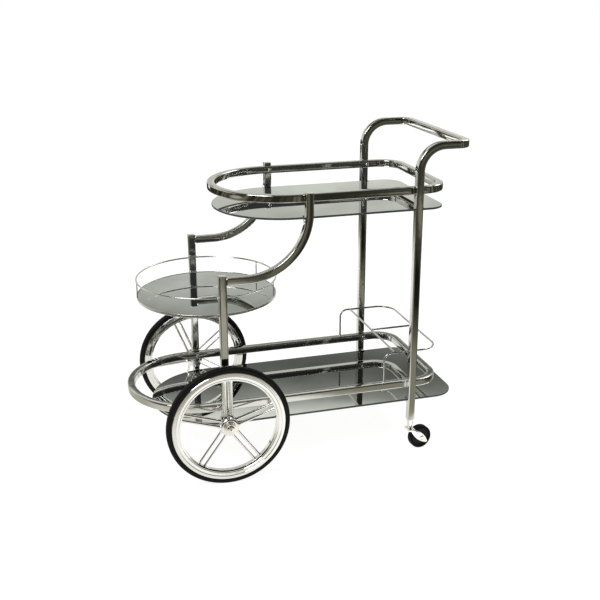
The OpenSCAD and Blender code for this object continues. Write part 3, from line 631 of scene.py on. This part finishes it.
rim_outline = np.concatenate([with_mirror(rim_side(RIM_HALF)), [(rim_r - 20, -3.8), (rim_r - 20, 3.8)]])
rim_radii = [0, 0, 0, 0.8, 0.8, 0.8, 0.4, 0.6, 0.8, 0.4, 0.6, 0.8]
wheel_rim = rounded(rim_outline, rim_radii + rim_radii[::-1] + [0, 0], hold=0.1)

TREAD_EDGE = 5
GROOVE_HALF, GROOVE_DEPTH = 1.6, 0.5
tyre_half = (tyre_high[1] - tyre_low[1]) / 2
plug = RIM_HALF - LIP - SEAT
tread = with_mirror(np.concatenate([
    [(seat_r + SEAT, -plug), (rim_r + SEAT, -plug), (rim_r + SEAT, 0.6 - tyre_half), (rim_r + 1, -tyre_half)],
    arc(wheel_r - TREAD_EDGE, TREAD_EDGE - tyre_half, TREAD_EDGE, -90, 0, 8),
    [(wheel_r, -GROOVE_HALF), (wheel_r - GROOVE_DEPTH, -1.2)]]))

HUB_R = 22
HUB_HALF = 14
HUB_BORE = 7.05
RECESS_R, RECESS = 13, 6
hub_section = rounded(
    [(HUB_BORE, -HUB_HALF), (HUB_R, -HUB_HALF), (HUB_R, HUB_HALF), (RECESS_R, HUB_HALF),
     (RECESS_R, HUB_HALF - RECESS), (HUB_BORE, HUB_HALF - RECESS)], [0, 2, 4, 0.6, 0, 0], steps=5)

SPOKES = 5
SPOKE_R = 4
SPOKE_PITCH = 15
SPOKE_BITE = 0.5                              # of a spoke's ends into the hub and the rim
SPOKE_START = {"left": 90, "right": 112}      # the wheels stand at different turns
spoke_radii = flared(SPOKE_R, [(0, 1.6), (0.015, 0.8), (0.045, 0.2), (0.08, -0.3)])
inner = math.sqrt((HUB_R - SPOKE_BITE) ** 2 - (SPOKE_PITCH / 2) ** 2)
outer = math.sqrt((rim_r - RIM_DEPTH + SPOKE_BITE) ** 2 - (SPOKE_PITCH / 2) ** 2)

for word, s in SIDES.items():
    axis = s * Y
    centre = np.array([axle_x, s * wheel_y, axle_z])
    body = f"wheel_{word}"
    piece(f"rim_{word}", [shell(turned(wheel_rim, centre, axis, WHEEL_STEPS), True, True)],
          wheel_chrome, [f"wheel_rim_{word}"], body)
    piece(f"rubber_tyre_{word}", [shell(turned(tread, centre, axis, WHEEL_STEPS), True, True)],
          tyre_rubber, [f"tyre_{word}"], body)
    piece(f"hub_{word}", [shell(turned(hub_section, centre, axis, steps=72), True, True)],
          wheel_chrome, [f"wheel_hub_{word}"], body)
    bars = []
    for i in range(SPOKES):
        a = math.radians(SPOKE_START[word] + i * 360 / SPOKES)
        out = np.array([math.cos(a), 0, math.sin(a)])
        across = np.array([-math.sin(a), 0, math.cos(a)]) * SPOKE_PITCH / 2
        bars += [bar(centre + out * inner + k * across, centre + out * outer + k * across, spoke_radii,
                     steps=24) for k in (-1, 1)]
    piece(f"spoke_bars_{word}", bars, wheel_chrome, [f"wheel_spokes_{word}"], body)


# Hub caps

HOLLOW_R = 10.6
PIT_R, PIT = 2, 3            # small pit in the tip
COLLAR_R, COLLAR = RECESS_R - 0.1, 5
POLE_R = 0.4                 # of the small flat face that closes a turned shape
BOLT_GAP = 0.5               # past the axle bolt's end
cap_low, cap_high = box("hub_cap_right")
hub_out = wheel_y + HUB_HALF
tip = cap_high[1]
cap_r = (cap_high[0] - cap_low[0]) / 2
bolt_end = box("axle_bolts")[1][1]
hollow_end = bolt_end + BOLT_GAP
cap_outline = [
    (POLE_R, tip - PIT), (PIT_R, tip - PIT), (PIT_R, tip), (cap_r - 9.5, tip - 0.7), (cap_r - 7, tip - 1.6),
    (cap_r - 7, tip - 2.8), (cap_r - 8.6, tip - 3.4), (cap_r - 4, tip - 3.7), (cap_r - 4, tip - 5.6),
    (cap_r - 5.6, tip - 6.2), (cap_r - 1.8, tip - 6.5), (cap_r - 1.8, tip - 8.6), (cap_r - 3.4, tip - 9.2),
    (cap_r, tip - 9.5), (cap_r, hub_out), (COLLAR_R, hub_out), (COLLAR_R, hub_out - COLLAR),
    (HOLLOW_R, hub_out - COLLAR), (HOLLOW_R, hollow_end), (POLE_R, hollow_end)]
cap_radii = [0, 0.2, 0.3, 1.5, 0.45, 0.3, 0, 0.6, 0.4, 0, 0.6, 0.4, 0, 0.6, 0.35, 0, 0.4, 0.4, 0.4, 0]
cap_profile = rounded(cap_outline, cap_radii, steps=4, hold=0.05)
for word, s in SIDES.items():
    piece(f"wheel_cap_{word}", [shell(turned(cap_profile, (axle_x, 0, axle_z), s * Y), True, False)],
          cap_chrome, [f"hub_cap_{word}"], f"wheel_{word}")


# Screws, brackets, pads

def screw(x, s, y, z, shank_d, length):
    """Pan head screw whose head sits at distance y from the middle and whose shank points outwards. The rise
    of the head over radius r is t (1 - (r/R)^3)^0.4, less a cross recess that is deepest where r cos a or
    r sin a is small, and that ends at half of R."""
    shank, head, rise = shank_d / 2, 0.95 * shank_d, 0.6 * shank_d
    r = head * np.linspace(0.06, 1, 18)
    dome = np.stack([r, -rise * (1 - (r / head) ** 3) ** 0.4], axis=-1)
    body = [(shank + 0.1, 0), (shank, 0.1), (shank, length - 0.6), (shank - 0.6, length), (0.3, length)]
    steps = 64
    grid = turned(np.concatenate([dome, body]), (x, s * y, z), s * Y, steps)
    a = np.arange(steps)[:, None] * (2 * math.pi / steps)
    across = np.minimum(np.abs(r * np.cos(a)), np.abs(r * np.sin(a)))
    slot_half, slot_end, depth = 0.14 * shank_d, 0.52 * head, 0.6 * rise
    recess = np.clip((slot_half - across) / (0.05 * shank_d), 0, 1)
    recess *= np.clip((slot_end - r) / (0.1 * head), 0, 1) * depth
    grid[:, :len(r)] += recess[..., None] * s * Y
    return shell(grid, True, False)


SCREW_D, SCREW_L = 5, 29
top_low, top_high = box("top_ring")
under_low, under_high = box("lower_ring")
top_ring_z, low_ring_z = (top_low[2] + top_high[2]) / 2, (under_low[2] + under_high[2]) / 2
ring_in = ring_y - half_tube
piece("ring_screw_set",
      [screw(x, s, ring_in, z, SCREW_D, SCREW_L) for s in (LEFT, RIGHT)
       for x, z in ((arm_x, top_ring_z), (rear_x, top_ring_z), (axle_x, low_ring_z), (rear_x, low_ring_z))],
      screw_steel, ["ring_screws"])

BRACKET_W, BRACKET_T, BRACKET_REACH, BRACKET_H = 14, 3, 28, 24
BRACKET_SCREW_D, BRACKET_SCREW_L, BRACKET_SCREW_DROP = 4, 9, 13
PAD_T, PAD_W, PAD_L = 2, 10, 12
PAD_IN = 2                   # from the glass's edge to the pad
top_ledge = box("top_glass")[0][2] - PAD_T
low_ledge = box("lower_glass")[0][2] - PAD_T
drop = max(0, arm_z + ARM_BEND - (top_ledge - BRACKET_SCREW_DROP))
bend_bracket_x = arm_x - ARM_BEND + math.sqrt(ARM_BEND ** 2 - drop ** 2)


def angle_plate(outline, radii, x, s, z):
    """Bent strip: its section, measured inwards from a post's inner face and upwards from z, run across the
    bracket's width."""
    place = (x + s * BRACKET_W / 2, s * post_in, z)
    return slab(rounded(outline, radii, steps=4), soft(BRACKET_W, 0.5), place, -s * Y, Z)


shelf_angle = [(0, -BRACKET_H), (BRACKET_T, -BRACKET_H), (BRACKET_T, -BRACKET_T), (BRACKET_REACH, -BRACKET_T),
               (BRACKET_REACH, 0), (0, 0)]
bracket_places = [(bend_bracket_x, top_ledge), (rear_x, top_ledge), (rear_x, low_ledge)]
piece("shelf_bracket_set",
      [angle_plate(shelf_angle, [0.6, 0.6, 2, 0.8, 0.8, 4], x, s, z) for s in (LEFT, RIGHT)
       for x, z in bracket_places],
      tube_chrome, ["shelf_brackets"])
piece("bracket_screw_set",
      [screw(x, s, post_in - BRACKET_T, z - BRACKET_SCREW_DROP, BRACKET_SCREW_D, BRACKET_SCREW_L)
       for s in (LEFT, RIGHT) for x, z in bracket_places],
      screw_steel, ["bracket_screws"])

axle_leg = box("axle_bracket_left")[1][2] - low_ledge
axle_angle = [(0, -BRACKET_T), (BRACKET_REACH, -BRACKET_T), (BRACKET_REACH, 0), (BRACKET_T, 0),
              (BRACKET_T, axle_leg), (0, axle_leg)]
half_w, half_l = PAD_W / 2, PAD_L / 2
pad_corners = [(half_w, -half_l), (half_w, half_l), (-half_w, half_l), (-half_w, -half_l)]
pad_outline = rounded(pad_corners, [1.5] * 4)
pads = []
for word, s in SIDES.items():
    piece(f"axle_angle_{word}", [angle_plate(axle_angle, [4, 0.8, 0.8, 2, 0.6, 0.6], axle_x, s, low_ledge)],
          tube_chrome, [f"axle_bracket_{word}"])
    for glass, places in (("top_glass", [(bend_bracket_x, top_ledge), (rear_x, top_ledge)]),
                          ("lower_glass", [(axle_x, low_ledge), (rear_x, low_ledge)])):
        middle = box(glass)[1][1] - PAD_IN - half_l
        pads += [slab(pad_outline, soft(PAD_T, 0.35), (x, s * middle, z)) for x, z in places]
piece("glass_pad_set", pads, pad_rubber, ["glass_pads"])

LUG_W, LUG_H = 19, 7
LUG_GAP = 0.15               # between a lug and the rim or wire that it holds
half_w = LUG_W / 2
lugs = []
for s in (LEFT, RIGHT):
    for edge_r, z in ((tray_r + LUG_GAP, tray_z), (gallery_r + wire_r + LUG_GAP, gallery_z - LUG_H / 2)):
        bite = math.degrees(math.asin(half_w / edge_r))
        curve = arc(0, 0, edge_r, 90 + bite, 90 - bite, 8)
        corners = [(half_w, post_in), (-half_w, post_in), *curve.tolist()]
        outline = rounded(corners, [0.9, 0.9] + [0] * 9)
        lugs.append(slab(outline, soft(LUG_H, 0.6), (axle_x, 0, z), s * X, s * Y))
piece("tray_lug_blocks", lugs, wire_chrome, ["tray_lugs"])


# Axles

HEX_R, HEAD_T, AXLE_R, SPACER_R = 9.815, 6.4, 5, 10
spacer_bore = AXLE_R + 0.2
head_out = post_in - BRACKET_T
a = np.radians(np.arange(6) * 60)
hexagon = rounded(HEX_R * np.stack([np.cos(a), np.sin(a)], axis=-1), [1.0] * 6, hold=0.1)
head_levels = [(0, 1.3), (0.35, 0.5), (0.8, 0), (HEAD_T - 0.2, 0), (HEAD_T, 0.2)]
near, far = post_y + half_tube, box("axle_spacers")[1][1]
spacer_section = rounded([(spacer_bore, near), (SPACER_R, near), (SPACER_R, far), (spacer_bore, far)],
                         [0.3, 0.7, 0.7, 0.3])
bolts, spacers = [], []
for s in (LEFT, RIGHT):
    bolts += [slab(hexagon, head_levels, (axle_x, s * (head_out - HEAD_T), axle_z), X, -s * Z),
              bar((axle_x, s * head_out, axle_z), (axle_x, s * bolt_end, axle_z),
                  [(0, AXLE_R), (0.98, AXLE_R), (1, AXLE_R - 0.9)], steps=40)]
    spacers.append(shell(turned(spacer_section, (axle_x, 0, axle_z), s * Y, steps=64), True, True))
piece("axle_bolt_pair", bolts, zinc_steel, ["axle_bolts"])
piece("axle_spacer_pair", spacers, wheel_chrome, ["axle_spacers"])


# Casters

PLUG_W, PLUG_L, PLUG_R, SOCKET_T = 15.6, 24, 1.6, 2
STEM_R, NECK_R, GROOVE_R = 5, 8.5, 4.2
BORE_R = STEM_R + 0.05
COLLAR_GAP = 0.3             # between the neck and the socket's collar
CROWN_L, CROWN_T = 16, 6
FORK_GAP, CHEEK_T = 22, 2.5
CHEEK_L, CHEEK_W, CHEEK_POINT, CHEEK_END_IN = 62, 19.5, 4, 1
CASTER_HALF = 10
CORE_R, CORE_BORE, BOSS_HALF, WEB_HALF = 24, 4.05, 10.7, 8
fork_out = FORK_GAP / 2 + CHEEK_T


def socket(x, y, z):
    """Plug with a collar under the tube: squares stacked upwards and joined at both ends to the round bore,
    whose points lie in the squares' own directions from the middle."""
    full, plug = tube_section, square(PLUG_W, PLUG_R)
    round_bore = BORE_R * unit(full)
    top = SOCKET_T + PLUG_L
    rows = [(round_bore, 0), (full * 0.95, 0), (full * 0.985, 0.15), (full, 0.5), (full, SOCKET_T - 0.3),
            (full * 0.985, SOCKET_T), (plug, SOCKET_T), (plug, top), (round_bore, top)]
    grid = np.stack([np.column_stack([outline, np.full(len(outline), rise)]) for outline, rise in rows])
    return shell(grid + np.array([x, y, z]), True, True)


def cheek_outline():
    """Two wide arcs that meet in a lens, its points cut round: a = half cos t, and b is the smaller of
    half sin t and of the arc's height there, sqrt(side^2 - a^2) - (side - width / 2)."""
    half = CHEEK_L / 2
    side = ((half + CHEEK_POINT) ** 2 + CHEEK_W ** 2 / 4) / CHEEK_W
    t = np.arange(96) * (2 * math.pi / 96)
    a = half * np.cos(t)
    height = np.sqrt(side ** 2 - a ** 2) - (side - CHEEK_W / 2)
    return np.stack([a, np.sign(np.sin(t)) * np.minimum(half * np.abs(np.sin(t)), height)], axis=-1)


piece("caster_socket_pair", [socket(rear_x, s * post_y, socket_z) for s in (LEFT, RIGHT)],
      tube_chrome, ["caster_sockets"])

crown = rounded([(-fork_out, 0), (fork_out, 0), (fork_out, CROWN_T), (-fork_out, CROWN_T)],
                [0.4, 0.4, 2.4, 2.4], steps=5)
rivet_end = [(POLE_R, 1.5), (2.2, 1.42), (4.0, 1.15), (5.4, 0.7), (6.2, 0.25), (6.4, 0),
             (CORE_BORE - 0.05, 0)]
rivet = with_mirror([(r, h + fork_out) for r, h in rivet_end])
boss_r, web = CORE_BORE + 5, WEB_HALF - 1.6
core_radii = [0.3, 0.6, 1.2, 1.0, 0.5, 0]
core = rounded(
    with_mirror([(CORE_BORE, -BOSS_HALF), (boss_r, -BOSS_HALF), (boss_r, -web), (CORE_R - 3, -web),
                 (CORE_R - 2, -WEB_HALF), (CORE_R, -WEB_HALF)]),
    core_radii + core_radii[::-1], steps=4, hold=0.1)

collar = socket_z - COLLAR_GAP
for word, s in SIDES.items():
    body, wheel_body = f"caster_{word}", f"caster_wheel_{word}"
    swivel = np.array([rear_x, s * post_y, 0])
    small_low, small_high = box(f"caster_tyre_{word}")
    hub = (small_low + small_high) / 2
    small_r = hub[2]
    crown_top = 2 * small_r
    ahead = (hub - swivel) * (1, 1, 0)
    trail = np.linalg.norm(ahead)
    ahead /= trail
    across = np.cross(Z, ahead)

    crown_place = swivel + Z * (crown_top - CROWN_T) - ahead * CROWN_L / 2
    cheek_z = crown_top - CROWN_T / 2
    lean = math.atan2(cheek_z - small_r, trail)
    along = ahead * math.cos(lean) - Z * math.sin(lean)
    lift = ahead * math.sin(lean) + Z * math.cos(lean)
    cheek_middle = swivel + Z * cheek_z + along * (CHEEK_L / 2 - CHEEK_END_IN)
    cheeks = [slab(cheek_outline(), soft(CHEEK_T, 0.5), cheek_middle + across * side_out, along, lift)
              for side_out in (fork_out, -FORK_GAP / 2)]
    piece(f"fork_{word}", [slab(crown, soft(CROWN_L, 0.5), crown_place, across, Z), *cheeks],
          wheel_chrome, [f"caster_fork_{word}"], body)

    clip_low, clip_high = box(f"caster_clip_{word}")
    stem_end = box(f"caster_stem_{word}")[1][2]
    stem = rounded(
        [(0.5, crown_top), (STEM_R, crown_top), (STEM_R + 0.5, crown_top + 2), (NECK_R, collar - 3),
         (NECK_R, collar), (STEM_R, collar), (STEM_R, clip_low[2]), (GROOVE_R, clip_low[2]),
         (GROOVE_R, clip_high[2]), (STEM_R, clip_high[2]), (STEM_R, stem_end), (0.5, stem_end)],
        [0, 0.3, 2, 6, 0.7, 0, 0, 0, 0, 0, 1.0, 0], steps=5, hold=0.1)
    piece(f"stem_{word}", [shell(turned(stem, swivel, steps=64), True, False)],
          stem_zinc, [f"caster_stem_{word}"], body)
    piece(f"rivet_axle_{word}", [shell(turned(rivet, hub, across, steps=48), True, False)],
          stem_zinc, [f"caster_axle_{word}"], body)
    piece(f"caster_hub_{word}", [shell(turned(core, hub, across, steps=80), True, True)],
          caster_plastic, [f"caster_core_{word}"], wheel_body)
    small_tyre = rounded([(CORE_R + SEAT, -CASTER_HALF), (small_r, -CASTER_HALF), (small_r, CASTER_HALF),
                          (CORE_R + SEAT, CASTER_HALF)], [0.6, 4, 4, 0.6], steps=8)
    piece(f"caster_rubber_{word}", [shell(turned(small_tyre, hub, across), True, True)],
          caster_rubber, [f"caster_tyre_{word}"], wheel_body)


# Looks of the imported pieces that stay

packed_looks = {
    "ring_nuts": zinc_steel, "axle_sleeves": zinc_steel, "axle_washers": zinc_steel, "axle_nuts": zinc_steel,
    "caster_clip_left": zinc_steel, "caster_clip_right": zinc_steel,
    "wheel_bushes_left": white_nylon, "wheel_bushes_right": white_nylon}
for node, look in packed_looks.items():
    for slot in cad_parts[node].material_slots:
        slot.material = look


# Floor, surroundings, lights

# What metal and glass show, in metres on the floor, which glows with painted light only for them: light over
# the distance from the pool's middle, light over the streaks' noise, patches of painted light and painted
# shade as (x, y, half width, half depth, light), and the light behind and in front of the cart over degrees
# of height
POOL = (-0.15, 0.60, 0)
POOL_REACH = 3.0             # distance at the end of the pool's ramp
POOL_LEVELS = [(0.0, 0.90), (0.8, 0.85), (1.1, 0.62), (1.2, 0.44), (1.4, 0.27), (1.6, 0.15), (1.85, 0.06),
               (2.1, 0.01)]
DARK_START, DARK_WHOLE = 1.6, 2.3
STREAK_LEVELS = [(0.42, 0.015), (0.52, 0.05), (0.60, 0.16), (0.68, 0.06)]
PAINTED_PATCHES = [
    (-0.72, 0.20, 0.32, 0.45, 0.50), (1.05, -0.20, 0.60, 0.80, 0.03), (0.45, -0.60, 0.34, 0.38, 0.25),
    (-0.22, -0.38, 0.40, 0.32, 0.85), (0.36, -0.29, 0.20, 0.10, 1.50), (-0.03, -1.15, 0.30, 0.85, 0.42),
    (-0.02, -0.50, 0.22, 0.30, 1.10), (-0.12, 1.35, 0.42, 0.60, 1.10), (0.80, -1.50, 0.35, 0.55, 0.01),
    (1.36, -2.45, 0.32, 0.60, 0.22), (2.30, -4.20, 0.70, 0.60, 0.14), (-3.05, -0.25, 0.80, 0.80, 0.44),
    (-1.25, 3.35, 0.45, 0.55, 1.20), (-1.60, 4.43, 0.70, 0.50, 1.60)]
SKY_LEVELS = [
    (-90, 0.02), (-3, 0.03), (0, 0.93), (10, 0.86), (12.5, 0.74), (14, 0.68), (17.5, 0.70), (18.8, 0.58),
    (19.8, 0.46), (21.5, 0.27), (22.7, 0.12), (23.8, 0.18), (25, 0.36), (25.8, 0.95), (31, 1.0), (36, 0.35),
    (45, 0.15), (90, 0.10)]
DIM_LEVELS = [(-90, 0.0), (4, 0.0), (9, 0.05), (18, 0.05), (21, 0.02), (28, 0.02), (34, 0.06), (60, 0.10),
              (90, 0.10)]
PAPER = 0.9                  # the floor's grey to other light
SHADED, GLOW = 0.28, 0.86    # what the camera sees of it: a part that takes shadow, and a part that shines
OTHER_LIGHT = 0.6            # the surroundings' grey to matt surfaces
CART_MIDDLE = (0, 0, 0.4)


def math_node(tree, operation, *values):
    """Result of a sum on sockets or numbers."""
    return new_node(tree, "Math", *values, operation=operation).outputs[0]


def blended(tree, kind, first, second, factor=1.0):
    """Two colours blended by a factor: each is a socket or a plain value."""
    made = new_node(tree, "MixRGB", factor, first, second)
    made.blend_type = kind
    return made.outputs[0]


def by_ray(tree, mirrored, lit, seen):
    """Shader that metal and glass show as mirrored, other light meets as lit, and the camera sees as seen."""
    path = new_node(tree, "LightPath").outputs
    shiny = math_node(tree, "MAXIMUM", path["Is Glossy Ray"], path["Is Transmission Ray"])
    inner = new_node(tree, "MixShader", shiny, lit, mirrored).outputs[0]
    return new_node(tree, "MixShader", path["Is Camera Ray"], inner, seen).outputs[0]


def tone(value):
    """Colour of a grey level of the surroundings: the darker it is, the more olive."""
    pale = min(1, value / 0.9)
    return value * (1.05 - 0.05 * pale), value, value * (0.70 + 0.26 * pale)


def paper_floor():
    """White paper floor. The camera sees it white with the cart's soft shadow. Metal and glass show it
    glowing with
    painted light: a pool of light round the cart, with radial streaks in the dark past it, and the listed
    patches of painted light and painted shade."""
    half = 7.0
    mesh = bpy.data.meshes.new("paper_floor")
    mesh.from_pydata([(-half, -half, 0), (half, -half, 0), (half, half, 0), (-half, half, 0)], [],
                     [(0, 1, 2, 3)])
    floor = bpy.data.objects.new("paper_floor", mesh)
    bpy.context.scene.collection.objects.link(floor)
    material, tree, shader = new_material("paper_floor")
    tree.nodes.remove(shader)
    place = new_node(tree, "TexCoord").outputs["Object"]

    def vector(operation, *values):
        """Result of a sum on vectors."""
        made = new_node(tree, "VectorMath", *values, operation=operation)
        return made.outputs["Value" if operation == "LENGTH" else "Vector"]

    from_pool = vector("SUBTRACT", place, POOL)
    away = math_node(tree, "MULTIPLY_ADD", vector("LENGTH", from_pool), 1 / POOL_REACH, 0.0)
    pool = ramp(tree, away, [(distance / POOL_REACH, tone(v)) for distance, v in POOL_LEVELS])
    around = vector("NORMALIZE", from_pool)
    streaks = new_node(tree, "TexNoise", Vector=around, Scale=4.5, Detail=2.0).outputs[0]
    dark = ramp(tree, streaks, [(level, tone(v)) for level, v in STREAK_LEVELS])
    outside = ramp(tree, away, [(DARK_START / POOL_REACH, 0.0), (DARK_WHOLE / POOL_REACH, 1.0)])
    light = blended(tree, "ADD", pool, blended(tree, "MULTIPLY", dark, outside))
    for x, y, width, depth, value in PAINTED_PATCHES:
        offset = vector("MULTIPLY", vector("SUBTRACT", place, (x, y, 0)), (1 / width, 1 / depth, 0))
        near = ramp(tree, vector("LENGTH", offset), [(0.45, 1.0), (1.0, 0.0)])
        light = blended(tree, "MIX", light, tone(value), near)
    # painted light: the floor glows with this map of pool, streaks and patches only for metal and glass
    mirrored = new_node(tree, "Emission", light).outputs[0]
    lit = new_node(tree, "BsdfDiffuse", PAPER).outputs[0]
    shaded = new_node(tree, "BsdfDiffuse", SHADED).outputs[0]
    glow = new_node(tree, "Emission", GLOW).outputs[0]
    seen = new_node(tree, "AddShader", shaded, glow).outputs[0]
    tree.links.new(by_ray(tree, mirrored, lit, seen), tree.nodes["Material Output"].inputs["Surface"])
    mesh.materials.append(material)


def height_stops(levels):
    """Ramp stops over a direction's height, (sin of its degrees + 1) / 2, from (degrees, light) pairs."""
    return [(0.5 + 0.5 * math.sin(math.radians(degrees)), light) for degrees, light in levels]


def studio():
    """Surroundings. Metal and glass show a bright, slightly clouded backdrop behind the cart that fades with
    its height, and a dark side in front; the camera sees white, and other light is grey."""
    world = bpy.data.worlds.new("studio")
    bpy.context.scene.world = world
    world.use_nodes = True
    tree = world.node_tree
    tree.nodes.clear()
    place = new_node(tree, "TexCoord").outputs["Generated"]
    split = new_node(tree, "SeparateXYZ", place).outputs
    height, depth = [math_node(tree, "MULTIPLY_ADD", split[letter], 0.5, 0.5) for letter in "ZY"]
    backdrop = ramp(tree, height, [(at, (v, v * 1.01, v * 0.93)) for at, v in height_stops(SKY_LEVELS)])
    stretch = new_node(tree, "Mapping", Vector=place, Scale=(1, 1, 2.5)).outputs[0]
    cloud = new_node(tree, "TexNoise", Vector=stretch, Scale=16.0, Detail=3.0).outputs[0]
    uneven = ramp(tree, cloud, [(0.35, 0.72), (0.65, 1.0)])
    behind = ramp(tree, depth, [(0.25, 0.0), (0.45, 0.06), (0.62, 1.0)])
    dim = ramp(tree, height, height_stops(DIM_LEVELS))
    colour = blended(tree, "MIX", dim, blended(tree, "MULTIPLY", backdrop, uneven), behind)
    mirrored, lit, seen = [new_node(tree, "Background", c).outputs[0] for c in (colour, OTHER_LIGHT, 1.0)]
    new_node(tree, "OutputWorld", by_ray(tree, mirrored, lit, seen))


def stand(thing, right, away, place):
    """Puts a lamp or a camera at a place, in metres, its right side along right and its back along away."""
    turn_to = np.column_stack([right, np.cross(away, right), away, place])
    thing.matrix_world = Matrix([*turn_to.tolist(), [0, 0, 0, 1]])
    bpy.context.scene.collection.objects.link(thing)


def softbox(name, place, side, power):
    """Square area light that looks at the cart's middle."""
    data = bpy.data.lights.new(name, "AREA")
    data.size = side
    data.energy = power
    away = unit(np.array(place) - CART_MIDDLE)
    stand(bpy.data.objects.new(name, data), unit(np.cross(Z, away)), away, place)


paper_floor()
studio()
softbox("key", (-1.6, -1.2, 2.4), 1.4, 36)
softbox("fill", (1.9, 0.6, 2.2), 1.2, 18)


# Camera

AZIMUTH, ELEVATION = math.radians(-16.75), math.radians(19.16)
CAMERA_PLACE = (-0.63885, -2.2518, 1.1847)
camera_data = bpy.data.cameras.new("camera")
camera_data.lens = 58.01
camera_data.sensor_width = 36
camera = bpy.data.objects.new("camera", camera_data)
run = math.cos(ELEVATION)
back = (math.sin(AZIMUTH) * run, -math.cos(AZIMUTH) * run, math.sin(ELEVATION))
stand(camera, (math.cos(AZIMUTH), math.sin(AZIMUTH), 0), back, CAMERA_PLACE)
bpy.context.scene.camera = camera
bpy.context.scene.view_settings.view_transform = "Standard"
